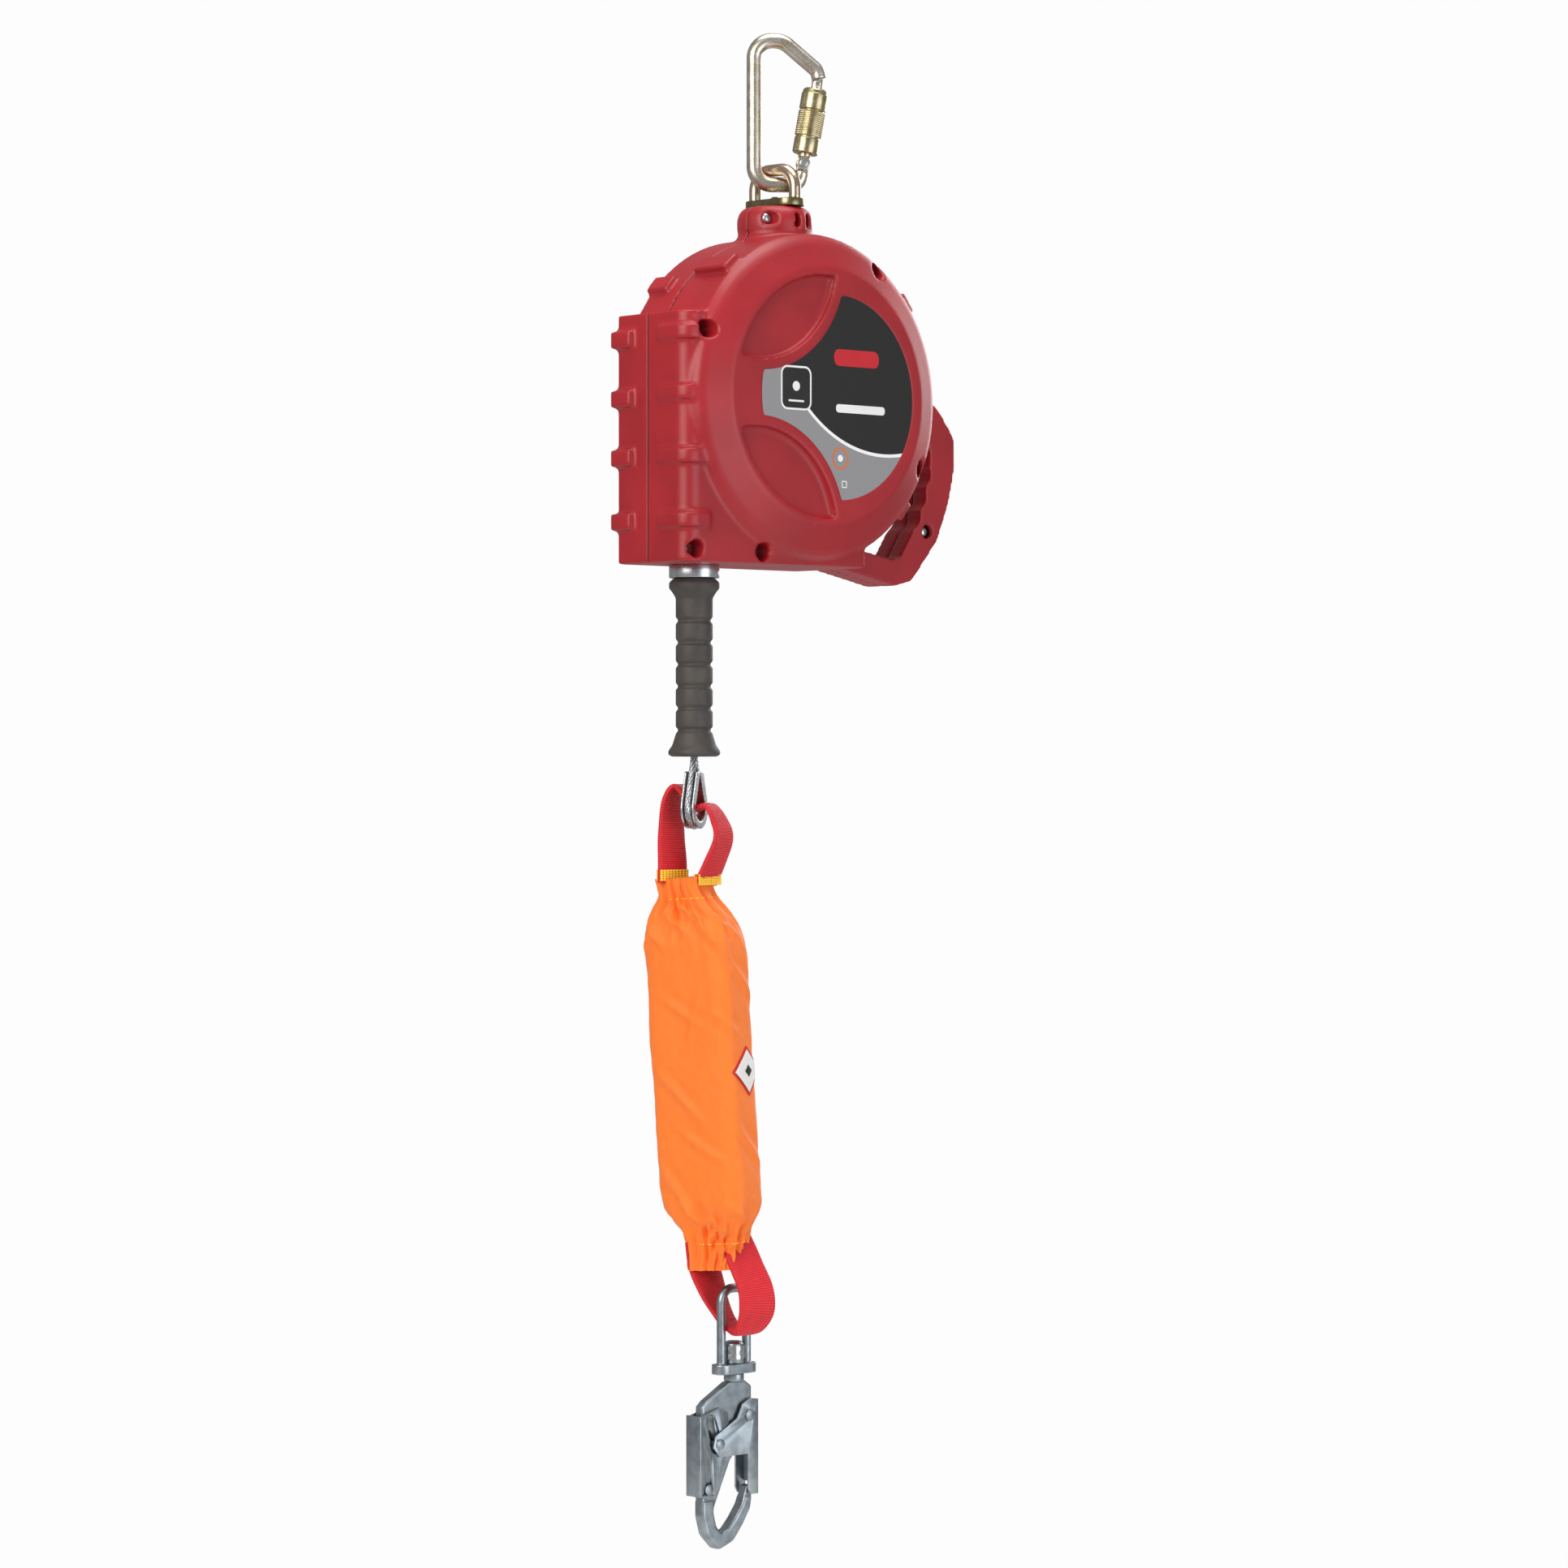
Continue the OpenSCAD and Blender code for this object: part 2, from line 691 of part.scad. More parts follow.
module brake_plate() {
    color("#9ea2a4") drum_frame() difference() {
        turned() polygon([[shaft_r, -42], [16, -42], [16, -33], [brake_r, -33], [brake_r, -30],
            [shaft_r, -30]]);
        brake_holes();
    }
}

module brake_holes() {
    for (a = [0 : 60 : 300]) rotate([0, a, 0]) translate([screw_circle, 0, 0])
        slab(-60, 60) circle(1.85);
}

module friction_rings() {
    color("#6d5640") drum_frame() for (y = [-30, -22.5])
        slab(y, y + 1.5) difference() {
            circle(ring_r - 0.5, $fn = 96);
            circle(80, $fn = 96);
        }
}

module clamp_ring() {
    color("#9ea2a4") drum_frame() difference() {
        slab(-21, -19) difference() {
            circle(brake_r, $fn = 96);
            circle(79, $fn = 96);
        }
        brake_holes();
    }
}

module brake_screws() {
    color("#c8c8c8") drum_frame() for (a = [0 : 60 : 300]) rotate([0, a, 0])
        translate([screw_circle, 0, 0]) {
            slab(-35, -17) circle(1.8);
            slab(-35.5, -33) circle(3.2, $fn = 6);
            slab(-19, -17) circle(3.2, $fn = 6);
        }
}

module ratchet_ring() {
    pitch = 360 / teeth;
    phase = 118.4;
    color("#7d8184") drum_frame() slab(-28.5, -22.5) difference() {
        circle(ring_r - 0.5, $fn = 96);
        polygon([for (i = [0 : teeth - 1], k = [0 : 1])
            let (a = phase + pitch * (i + 0.18 * k)) (k == 0 ? tooth_tip : tooth_root)
                * [cos(a), sin(a)]]);
    }
}

// ---- drum ----

module cable_drum() {
    color("#a9adaf") drum_frame() difference() {
        turned() polygon([[9.6, -18], [flange_r, -18], [flange_r, -15.5], [core_r, -15.5],
            [core_r, 15.5], [flange_r, 15.5], [flange_r, 18], [core_r - 3, 18],
            [core_r - 3, -15.5], [20, -15.5], [20, 18], [9.6, 18]]);
        for (side = [-1, 1]) translate([0, 0, side * pawl_circle])
            slab(-30, 0) circle(pawl_pin_r);
        for (a = [0 : 60 : 300]) rotate([0, a, 0]) translate([33, 0, 0])
            slab(-30, 0) circle(6);
    }
}

module drum_bushings() {
    color("#b0803c") drum_frame() for (y = [-18, 10]) slab(y, y + 8) difference() {
        circle(9.6);
        circle(shaft_r + run_gap);
    }
}

module wound_lifeline() {
    color("#b8babb") drum_frame() slab(-15.3, 15.3) difference() {
        circle(wrap_r - rope_r - 0.5, $fn = 96);
        circle(core_r, $fn = 96);
    }
}

module spring_cup() {
    color("#a9adaf") drum_frame() turned() polygon([[12, 18], [70, 18], [70, 36], [68, 36],
        [68, 20], [12, 20]]);
}

module spring_cover() {
    color("#a9adaf") drum_frame() slab(36, 37.5) difference() {
        circle(70, $fn = 96);
        circle(16);
    }
}

module power_spring() {
    steps = 16;
    thick = 1;
    inner = 11.4;
    grow = (67.5 - inner - thick) / (spring_turns * steps);
    ends = spring_turns * steps;
    color("#7a8690") drum_frame() slab(21, 35) polygon(concat(
        [for (i = [0 : ends]) (inner + grow * i) * [cos(360 * i / steps), sin(360 * i / steps)]],
        [for (i = [ends : -1 : 0])
            (inner + thick + grow * i) * [cos(360 * i / steps), sin(360 * i / steps)]]));
}

module pawl_pins() {
    color("#c8c8c8") drum_frame() for (side = [-1, 1]) translate([0, 0, side * pawl_circle]) {
        slab(-29, -15.6) circle(pawl_pin_r);
        slab(-29, -28.2) circle(4);
    }
}

module pawl() {
    color("#8a8d8f") difference() {
        union() {
            slab(-28, -22.2) circle(5.6);
            slab(-28, -22.2)
                polygon([[0, 5.4], [-30, 5], [-38, 4.5], [-36, -1], [-30, -3], [0, -5.3]]);
            slab(-28, -22.2) polygon([[-1, 4], [9, 2], [14, -1], [14, -5], [9, -7], [-1, -4]]);
        }
        slab(-40, 0) circle(pawl_pin_r + run_gap);
    }
}

module pawl_a() { drum_frame() translate([0, 0, pawl_circle]) pawl(); }
module pawl_b() { drum_frame() rotate([0, 180, 0]) translate([0, 0, pawl_circle]) pawl(); }

module pawl_springs() {
    color("#9a9a96") drum_frame() for (turn = [0, 180]) rotate([0, turn, 0])
        translate([10, -20.1, pawl_circle - 9]) rotate([0, 90, 0])
            wire(helix(1.3, 8, 16, 8), 0.35);
}

// ---- lifeline end ----

module lifeline_cable() {
    color("#b8babb") translate([line_x, 0, 0]) {
        translate([0, 0, thimble_z + apex]) cylinder(h = drum_z - thimble_z - apex, r = rope_r);
        translate([0, 0, thimble_z + apex - 9]) cylinder(h = 11, r = 6.2);
        rotate([0, 0, thimble_turn]) translate([0, 0, thimble_z]) {
            loop_bow() circle(rope_r);
            loop_legs(apex * cos(loop_turn) - 8) circle(rope_r - 0.02);
        }
    }
}

// sweeps a profile of radius and depth round the bottom of the thimble's drop shape
module loop_bow() {
    rotate([90, 0, 0]) rotate([0, 0, 180 - loop_turn]) rotate_extrude(angle = 180 + 2 * loop_turn)
        translate([thimble_r, 0]) children();
}

// the two straight legs of the drop shape
module loop_legs(length) {
    for (side = [0, 1]) mirror([side, 0, 0]) rotate([0, loop_turn, 0])
        translate([-thimble_r, 0, -lap]) linear_extrude(length + lap) rotate(180) children();
}

module thimble() {
    channel = [[-3.8, -5], [1.6, -5], [1.6, -3.6], [-2.5, -2.5], [-2.5, 2.5], [1.6, 3.6],
        [1.6, 5], [-3.8, 5]];
    color("#c4c6c7") translate([line_x, 0, thimble_z]) rotate([0, 0, thimble_turn])
        difference() {
            intersection() {
                union() {
                    loop_bow() polygon(channel);
                    loop_legs(apex * cos(loop_turn)) polygon(0.995 * channel);
                }
                translate([-30, -30, -30]) cube([60, 60, 30 + apex - 12]);
            }
            loop_bow() circle(rope_r + 0.02);
            loop_legs(apex * cos(loop_turn)) circle(rope_r + 0.04);
        }
}

module ferrule() {
    color("#b07a4a") translate([line_x, 0, grip_low + 2]) difference() {
        cylinder(h = 28, r = 7);
        translate([0, 0, -1]) cylinder(h = 30, r = rope_r);
    }
}

module cable_stop() {
    color("#a9adaf") translate([line_x, 0, grip_top - 20]) difference() {
        cylinder(h = 18, r = 6);
        translate([0, 0, -1]) cylinder(h = 30, r = rope_r);
    }
}

module grip() {
    r = grip_d / 2;
    pitch = 15.6;
    first = 30;
    color("#3a3633") translate([line_x, 0, grip_top]) difference() {
        rotate_extrude($fn = 96) polygon([[rope_r + 0.02, 0], [15, 0], [18, -3], [18, -7],
            [15.5, -10], [r, -14],
            for (i = [0 : grip_grooves - 1], k = [0 : 3])
                [k == 0 || k == 3 ? r : r - 1.6, -first - pitch * i + (1.5 - k) * 1.6],
            [r, 16 - grip_l], [r + 2.5, 8 - grip_l], [18.5, 4 - grip_l], [18.5, 1.5 - grip_l],
            [16, -grip_l], [rope_r + 0.02, -grip_l]]);
        translate([0, 0, -20.5]) cylinder(h = 19, r = 6);
        translate([0, 0, -grip_l - 1]) cylinder(h = 31.5, r = 7);
    }
}

// ---- shock pack ----

module upper_loop() { color("#e0202c") chain_frame() webbing(upper_route, web_t - 1); }
module lower_loop() { color("#e0202c") chain_frame() webbing(lower_route, web_t); }

module tear_pack() {
    color("#e8e4d8") pack_frame() translate([0, 0, -18])
        cube([0.72 * pack_w, 0.6 * pack_t, 170], center = true);
}

module cover_stack(shrink) {
    hull() for (level = cover_levels) translate([0, 0, level[0] - sign(level[0]) * shrink])
        linear_extrude(0.5, center = true) for (i = [-1, 1], j = [-1, 1])
            translate([i * (pack_w * level[1] / 2 - 10), j * (pack_t * level[2] / 2 - 10)])
                circle(10 - shrink, $fn = 20);
}

module absorber_cover() {
    color("#ff8a2a") pack_frame() difference() {
        cover_stack(0);
        cover_stack(2);
    }
}

module cover_patch() {
    color("#f4f0ee") pack_frame() translate([pack_w / 2 + 0.4, 0, 7]) rotate([0, 90, 0])
        rotate([0, 0, 45]) cube([26, 26, 0.8], center = true);
}

module stitch_bands() {
    color("#f2c02e") chain_frame() {
        translate([-17.9, 2.5, -604]) rotate([0, 0, 40]) cube([29, web_t + 2.6, 7], center = true);
        translate([9.6, 0, -606.5]) rotate([0, 0, 52]) cube([29, web_t + 4, 7], center = true);
    }
}

// ---- snap hook ----

module hook_eye() {
    color("#b9bcbd") hook_frame() {
        bent_rod([[-eye_half, -945], [-eye_half, -891], [eye_half, -891], [eye_half, -945]],
            [10, 10], 3.25);
        translate([0, 0, -951.5]) difference() {
            linear_extrude(7) bar([-eye_half + 1, 0], [eye_half - 1, 0], 7.5, 7.5);
            translate([0, 0, -1]) cylinder(h = 10, r = 4.5 + run_gap);
        }
    }
}

module load_indicator() {
    color("#c4c6c4") hook_frame() translate([0, 0, -941]) difference() {
        cylinder(h = 9, r = 7.6);
        translate([0, 0, -1]) cylinder(h = 11, r = 7);
        for (a = [0 : 60 : 300]) rotate([0, 0, a + 30]) translate([0, 0, 4.5])
            rotate([0, 90, 0]) cylinder(h = 10, r = 2);
    }
}

module hook_swivel_stud() {
    color("#c4c6c7") hook_frame() {
        translate([0, 0, -944.2]) cylinder(h = 13.7, r = 7);
        translate([0, 0, -930.5]) cylinder(h = 2, r1 = 7, r2 = 5);
        translate([0, 0, -952]) cylinder(h = 8, r = 4.5);
        translate([0, 0, -957]) cylinder(h = 5.2, r = 7.2);
    }
}

module rivet_hole(p, r) { translate([p.x, 0, p.y]) slab(-20, 20) circle(r); }

module hook_body() {
    color("#a4abae") hook_frame() difference() {
        union() {
            slab(-body_t / 2, body_t / 2) polygon(plate_outline);
            slab(-bow_t / 2 + 1, bow_t / 2 - 1) bars(bow_line, bow_radii);
            slab(-bow_t / 2, bow_t / 2) intersection() {
                bars(bow_line, [for (r = bow_radii) r - 1]);
                translate([-100, -1200]) square([200, 160]);
            }
        }
        rivet_hole(gate_pivot, 3);
        rivet_hole(lock_pivot, 2.5);
        slab(-20, 20) bars([for (a = [180.5 : 6.5 : 213]) gate_pivot + 33.9 * [cos(a), sin(a)]],
            [2.6, 2.6, 2.6, 2.6, 2.6, 2.6]);
    }
}

module rivet(p, r, half, head_r) {
    translate([p.x, 0, p.y]) {
        slab(-half, half) circle(r);
        for (side = [-1, 1]) {
            y = side * (half + 0.6);
            slab(y - 0.6, y + 0.6) circle(head_r);
            slab(y + side * 0.9 - 0.3, y + side * 0.9 + 0.3) circle(head_r - 1);
        }
    }
}

module hook_rivets() {
    color("#c4c6c7") hook_frame() {
        rivet(gate_pivot, 3, gate_out, 4.2);
        rivet(lock_pivot, 2.5, lock_y + plate_t, 3.8);
    }
}

module hook_gate() {
    color("#a4abae") hook_frame() difference() {
        union() {
            for (y = [-gate_out, gate_y]) slab(y, y + plate_t) polygon(gate_outline);
            translate([15.1, -gate_out, -1030]) cube([1.5, 2 * gate_out, 59]);
        }
        rivet_hole(gate_pivot, 3 + run_gap);
        rivet_hole(tail_spot, 2);
    }
}

module hook_tail_pin() {
    color("#c4c6c7") hook_frame() rivet(tail_spot, 2, gate_out, 3.8);
}

module hook_gate_spring() {
    color("#9a9a96") hook_frame() translate([gate_pivot.x, -lock_y - 0.1, gate_pivot.y])
        rotate([90, 0, 0]) wire(concat(helix(4.2, 1.5, 1, 16), [[-9, -6, 1]]), 0.4);
}

module hook_lock() {
    color("#a4abae") hook_frame() difference() {
        union() {
            for (y = [-lock_y - plate_t, lock_y]) slab(y, y + plate_t) polygon(lock_outline);
            translate([-38.5, -7.6, -1036]) cube([1.5, 15.2, 57]);
        }
        rivet_hole(lock_pivot, 2.5 + run_gap);
        slab(-20, 20) bar([-21.5, -1001], [-27.5, -984], 5.8, 5.8);
    }
}

module hook_lock_spring() {
    color("#9a9a96") hook_frame() translate([-35.6, 0, -1018]) rotate([0, 90, 0])
        wire(helix(2.6, 1.75, 1.3, 12), 0.35);
}

carabiner_body();
carabiner_gate();
gate_rivet();
latch_pin();
gate_spring();
sleeve_spring();
lock_sleeve();
swivel_eye();
swivel_plate();
swivel_stud();
swivel_nut();
swivel_bushing();
front_housing();
rear_housing();
front_label();
rear_label();
housing_screws();
neck_screws();
outlet_ring();
cable_guide();
frame_bracket();
main_shaft();
shaft_nuts();
spring_arbor();
brake_plate();
friction_rings();
clamp_ring();
brake_screws();
ratchet_ring();
cable_drum();
drum_bushings();
wound_lifeline();
spring_cup();
power_spring();
spring_cover();
pawl_pins();
pawl_a();
pawl_b();
pawl_springs();
lifeline_cable();
cable_stop();
grip();
ferrule();
thimble();
upper_loop();
lower_loop();
tear_pack();
absorber_cover();
cover_patch();
stitch_bands();
hook_eye();
load_indicator();
hook_swivel_stud();
hook_body();
hook_rivets();
hook_gate();
hook_tail_pin();
hook_gate_spring();
hook_lock();
hook_lock_spring();
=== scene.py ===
import json
import math

import bmesh
import bpy
from mathutils import Matrix, Vector, noise


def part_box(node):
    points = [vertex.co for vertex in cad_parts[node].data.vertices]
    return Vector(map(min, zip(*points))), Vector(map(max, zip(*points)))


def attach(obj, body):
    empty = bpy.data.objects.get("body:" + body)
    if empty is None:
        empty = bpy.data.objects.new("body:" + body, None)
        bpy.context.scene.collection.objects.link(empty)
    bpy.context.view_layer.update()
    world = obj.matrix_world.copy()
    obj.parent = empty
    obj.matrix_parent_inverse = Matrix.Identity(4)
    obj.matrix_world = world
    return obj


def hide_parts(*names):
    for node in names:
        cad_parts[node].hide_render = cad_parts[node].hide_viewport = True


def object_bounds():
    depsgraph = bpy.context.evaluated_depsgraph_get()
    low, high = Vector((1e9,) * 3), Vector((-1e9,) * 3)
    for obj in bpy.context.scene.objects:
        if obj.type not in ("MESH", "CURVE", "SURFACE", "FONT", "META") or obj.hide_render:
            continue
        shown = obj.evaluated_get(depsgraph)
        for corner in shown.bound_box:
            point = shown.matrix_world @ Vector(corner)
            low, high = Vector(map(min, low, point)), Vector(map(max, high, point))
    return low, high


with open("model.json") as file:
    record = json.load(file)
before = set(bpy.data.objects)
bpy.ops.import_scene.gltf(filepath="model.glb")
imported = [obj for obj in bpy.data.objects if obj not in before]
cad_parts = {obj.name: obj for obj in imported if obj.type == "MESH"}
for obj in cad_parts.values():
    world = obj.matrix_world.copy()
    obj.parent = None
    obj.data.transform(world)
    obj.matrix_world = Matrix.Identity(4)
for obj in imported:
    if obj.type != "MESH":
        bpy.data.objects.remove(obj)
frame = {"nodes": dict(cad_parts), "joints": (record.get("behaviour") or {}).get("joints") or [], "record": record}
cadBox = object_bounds()
nodes = frame["nodes"]
joints = {j["name"]: j for j in frame["joints"]}
mm = 0.001  # sizes in the dictionaries are in millimetres
scene = bpy.context.scene
scene.view_settings.view_transform = "Standard"
print("stage: frame loaded,", len(nodes), "nodes")


# camera, light and floor

cameraValues = {"azimuth": -42.4, "distance": 3.5, "fieldWidth": 1.134, "sensor": 36, "aimRight": 0.0065}
turn = math.radians(cameraValues["azimuth"])
toCamera = Vector((math.sin(turn), -math.cos(turn), 0))
toRight = Vector((math.cos(turn), math.sin(turn), 0))
middle = Vector((0, 0, (cadBox[0].z + cadBox[1].z) / 2))
camera = bpy.data.objects.new("camera", bpy.data.cameras.new("camera"))
scene.collection.objects.link(camera)
camera.location = middle + toCamera * cameraValues["distance"] + toRight * cameraValues["aimRight"]
camera.rotation_euler = (math.pi / 2, 0, turn)
camera.data.sensor_width = cameraValues["sensor"]
camera.data.lens = cameraValues["sensor"] * cameraValues["distance"] / cameraValues["fieldWidth"]
camera.data.clip_end = 100
scene.camera = camera


def linear(colour):
    channels = [int(colour[i:i + 2], 16) / 255 for i in (1, 3, 5)]
    return [c / 12.92 if c <= 0.04045 else ((c + 0.055) / 1.055) ** 2.4 for c in channels] + [1]


def addNode(tree, kind, settings={}, links={}):
    made = tree.nodes.new(kind)
    for key, value in settings.items():
        if key == "stops":
            ramp = made.color_ramp
            ramp.elements[0].position, ramp.elements[0].color = value[0]
            ramp.elements[1].position, ramp.elements[1].color = value[-1]
            for position, colour in value[1:-1]:
                ramp.elements.new(position).color = colour
        elif isinstance(key, str) and hasattr(made, key):
            setattr(made, key, value)
        else:
            made.inputs[key].default_value = value
    for key, source in links.items():
        tree.links.new(source, made.inputs[key])
    return made


lightValues = [  # right, up and towards the camera in metres, size, power, colour
    ("key", (-1.5, 1.1, 2.3), 1.8, 62, "#fffaf4"),
    ("fill", (2.2, -0.2, 1.8), 2.0, 34, "#f4f8ff"),
    ("top", (0.2, 2.2, 0.2), 1.6, 34, "#ffffff"),
    ("back", (1.4, 0.9, -2.2), 1.6, 30, "#ffffff"),
]
for name, (right, up, near), size, power, colour in lightValues:
    light = bpy.data.objects.new(name, bpy.data.lights.new(name, "AREA"))
    light.data.size, light.data.energy, light.data.color = size, power, linear(colour)[:3]
    scene.collection.objects.link(light)
    light.location = middle + toRight * right + toCamera * near + Vector((0, 0, up))
    light.rotation_euler = (middle - light.location).to_track_quat("-Z", "Y").to_euler()

# the paper behind is white, and the room lights the object less than that
worldValues = {"paper": "#fdfdfd", "room": "#c9cbce", "roomStrength": 0.55}
world = bpy.data.worlds.new("studio")
world.use_nodes = True
room = world.node_tree.nodes["Background"]
room.inputs["Color"].default_value = linear(worldValues["room"])
room.inputs["Strength"].default_value = worldValues["roomStrength"]
paper = addNode(world.node_tree, "ShaderNodeBackground", {"Color": linear(worldValues["paper"])})
seen = addNode(world.node_tree, "ShaderNodeLightPath").outputs["Is Camera Ray"]
both = addNode(world.node_tree, "ShaderNodeMixShader", {}, {0: seen, 1: room.outputs[0], 2: paper.outputs[0]})
world.node_tree.links.new(both.outputs[0], world.node_tree.nodes["World Output"].inputs[0])
scene.world = world


# materials

def startMaterial(name, space="Object"):
    material = bpy.data.materials.new(name)
    material.use_nodes = True
    tree = material.node_tree
    place = addNode(tree, "ShaderNodeTexCoord").outputs[space]
    return material, tree, tree.nodes["Principled BSDF"], place


# two near colours drift over patches, and a fine grain varies the gloss and the relief; sizes in millimetres
def surface(name, base, second, patch, rough, spread, grain, depth, metallic=0, strength=0.5, **shader):
    material, tree, bsdf, place = startMaterial(name)
    drift = addNode(tree, "ShaderNodeTexNoise", {"Scale": 1 / (patch * mm), "Detail": 4}, {"Vector": place})
    share = addNode(tree, "ShaderNodeMapRange", {"From Min": 0.36, "From Max": 0.64},
                    {"Value": drift.outputs[0]})
    tint = addNode(tree, "ShaderNodeMix", {"data_type": "RGBA", 6: linear(base), 7: linear(second)},
                   {0: share.outputs[0]})
    fine = addNode(tree, "ShaderNodeTexNoise", {"Scale": 1 / (grain * mm), "Detail": 3}, {"Vector": place})
    gloss = addNode(tree, "ShaderNodeMapRange", {"From Min": 0.3, "From Max": 0.7, "To Min": rough - spread,
                    "To Max": rough + spread}, {"Value": fine.outputs[0]})
    relief = addNode(tree, "ShaderNodeBump", {"Strength": strength, "Distance": depth * mm},
                     {"Height": fine.outputs[0]})
    bsdf.inputs["Metallic"].default_value = metallic
    for key, value in shader.items():
        bsdf.inputs[key.replace("_", " ")].default_value = value
    tree.links.new(tint.outputs[2], bsdf.inputs["Base Color"])
    tree.links.new(gloss.outputs[0], bsdf.inputs["Roughness"])
    tree.links.new(relief.outputs[0], bsdf.inputs["Normal"])
    return material


# each row of threads is its pitch along, its pitch across and its share of the height, in millimetres; the low
# parts of the weave get the darker groove colour as painted shade
def woven(name, base, groove, threads, depth, rough, metallic=0, strength=0.8, **shader):
    material, tree, bsdf, place = startMaterial(name, "UV")
    parts = addNode(tree, "ShaderNodeSeparateXYZ", {}, {0: place})
    height = None
    for alongPitch, acrossPitch, share in threads:
        alongRate = 2 * math.pi / (alongPitch * mm) if alongPitch else 0
        acrossRate = 2 * math.pi / (acrossPitch * mm) if acrossPitch else 0
        along = addNode(tree, "ShaderNodeMath", {"operation": "MULTIPLY", 1: alongRate},
                        {0: parts.outputs[0]})
        both = addNode(tree, "ShaderNodeMath", {"operation": "MULTIPLY_ADD", 1: acrossRate},
                       {0: parts.outputs[1], 2: along.outputs[0]})
        ridge = addNode(tree, "ShaderNodeMath", {"operation": "SINE"}, {0: both.outputs[0]})
        below = {2: height.outputs[0]} if height else {}
        height = addNode(tree, "ShaderNodeMath", {"operation": "MULTIPLY_ADD", 1: share, 2: 0.5},
                         {0: ridge.outputs[0], **below})
    fuzz = addNode(tree, "ShaderNodeTexNoise", {"Scale": 160, "Detail": 5}, {"Vector": place})
    uneven = addNode(tree, "ShaderNodeMath", {"operation": "MULTIPLY_ADD", 1: 0.5},
                     {0: fuzz.outputs[0], 2: height.outputs[0]})
    share = addNode(tree, "ShaderNodeMapRange", {"From Min": 0.3, "From Max": 1.15},
                    {"Value": uneven.outputs[0]})
    # painted shade: the colour runs from the base colour on the thread tops to the darker groove colour in the low
    # parts, with a random fuzz in the tone
    tint = addNode(tree, "ShaderNodeMix", {"data_type": "RGBA", 6: linear(groove), 7: linear(base)},
                   {0: share.outputs[0]})
    relief = addNode(tree, "ShaderNodeBump", {"Strength": strength, "Distance": depth * mm},
                     {"Height": uneven.outputs[0]})
    bsdf.inputs["Roughness"].default_value = rough
    bsdf.inputs["Metallic"].default_value = metallic
    for key, value in shader.items():
        bsdf.inputs[key.replace("_", " ")].default_value = value
    tree.links.new(tint.outputs[2], bsdf.inputs["Base Color"])
    tree.links.new(relief.outputs[0], bsdf.inputs["Normal"])
    return material


steel = {
    # yellow chromate on zinc over a forging: silver that drifts to pale gold, softly pitted
    "plated_steel": surface("yellowZincForging", "#d8d0c6", "#c0b49c", 9, 0.3, 0.07, 0.9, 0.06, 1),
    # heavier chromate on a turned sleeve: brassy, a little glossier
    "sleeve_brass": surface("goldZincTurned", "#bcb08e", "#a0946e", 6, 0.28, 0.06, 0.7, 0.03, 1),
    # iridescent chromate on bent rod: pinkish gold
    "eye_steel": surface("iridescentZincRod", "#d0b0a0", "#b4a68c", 7, 0.26, 0.06, 0.8, 0.04, 1),
    # clear zinc on pressed and turned steel
    "zinc_steel": surface("clearZincPressed", "#c9cbcc", "#b2b5b8", 8, 0.3, 0.06, 0.7, 0.03, 1),
    # clear zinc on a forging: cooler, mottled spangle
    "hook_steel": surface("clearZincForging", "#a5adb1", "#8c959a", 8, 0.38, 0.07, 0.8, 0.04, 1),
    "indicator_band": surface("brightZincTurned", "#d6d6d2", "#c2c2bc", 6, 0.24, 0.05, 0.7, 0.02, 1),
    "spring_steel": surface("drawnSpringWire", "#8d8f92", "#77797c", 5, 0.3, 0.05, 0.5, 0.02, 1),
    "aluminium": surface("turnedAluminium", "#b9bbbd", "#a5a7aa", 12, 0.34, 0.06, 0.7, 0.03, 1),
    "bronze": surface("sinteredBronze", "#b98a4c", "#a3763c", 6, 0.42, 0.06, 0.5, 0.03, 1),
    "copper": surface("swagedCopper", "#b8784c", "#a4663c", 6, 0.35, 0.06, 0.6, 0.03, 1),
}
plain = {
    # glass filled nylon moulded in a spark eroded tool: dull red with a fine even grain and faint flow marks
    "red_plastic": surface("mouldedRedNylon", "#a41a23", "#98151e", 45, 0.42, 0.05, 0.9, 0.05, 0, 0.35,
                           IOR=1.5),
    "nylon": surface("turnedNylon", "#e6e2d6", "#dcd7c8", 20, 0.4, 0.05, 0.7, 0.02, IOR=1.53),
    "lining": surface("brakeLining", "#6d5640", "#4c3c2c", 3, 0.8, 0.05, 0.6, 0.08),
    # natural rubber moulded with a dull skin, dusted by hands
    "grip_rubber": surface("mouldedRubber", "#3b3734", "#47423e", 14, 0.6, 0.08, 0.8, 0.06, 0, 0.5, IOR=1.52),
    # gloss film over print, nearly smooth
    "pale_film": surface("whiteLabelFilm", "#f2efeb", "#ebe7e1", 30, 0.32, 0.04, 1.2, 0.02, IOR=1.48),
    "printRed": surface("redPrint", "#c8242c", "#bd1f27", 30, 0.36, 0.04, 1.0, 0.02),
    "printWhite": surface("whitePrint", "#f2f2f0", "#e8e8e4", 30, 0.36, 0.04, 1.0, 0.02),
    "printBlack": surface("blackPrint", "#1a1817", "#22201f", 30, 0.36, 0.04, 1.0, 0.02),
    "printOrange": surface("orangePrint", "#e0702c", "#d86824", 30, 0.36, 0.04, 1.0, 0.02),
    "printGrey": surface("greyPrint", "#9a9896", "#8e8c8a", 30, 0.36, 0.04, 1.0, 0.02),
    "floor": surface("paleFloor", "#ecebe9", "#e6e5e3", 300, 0.7, 0.04, 6, 0.1),
}
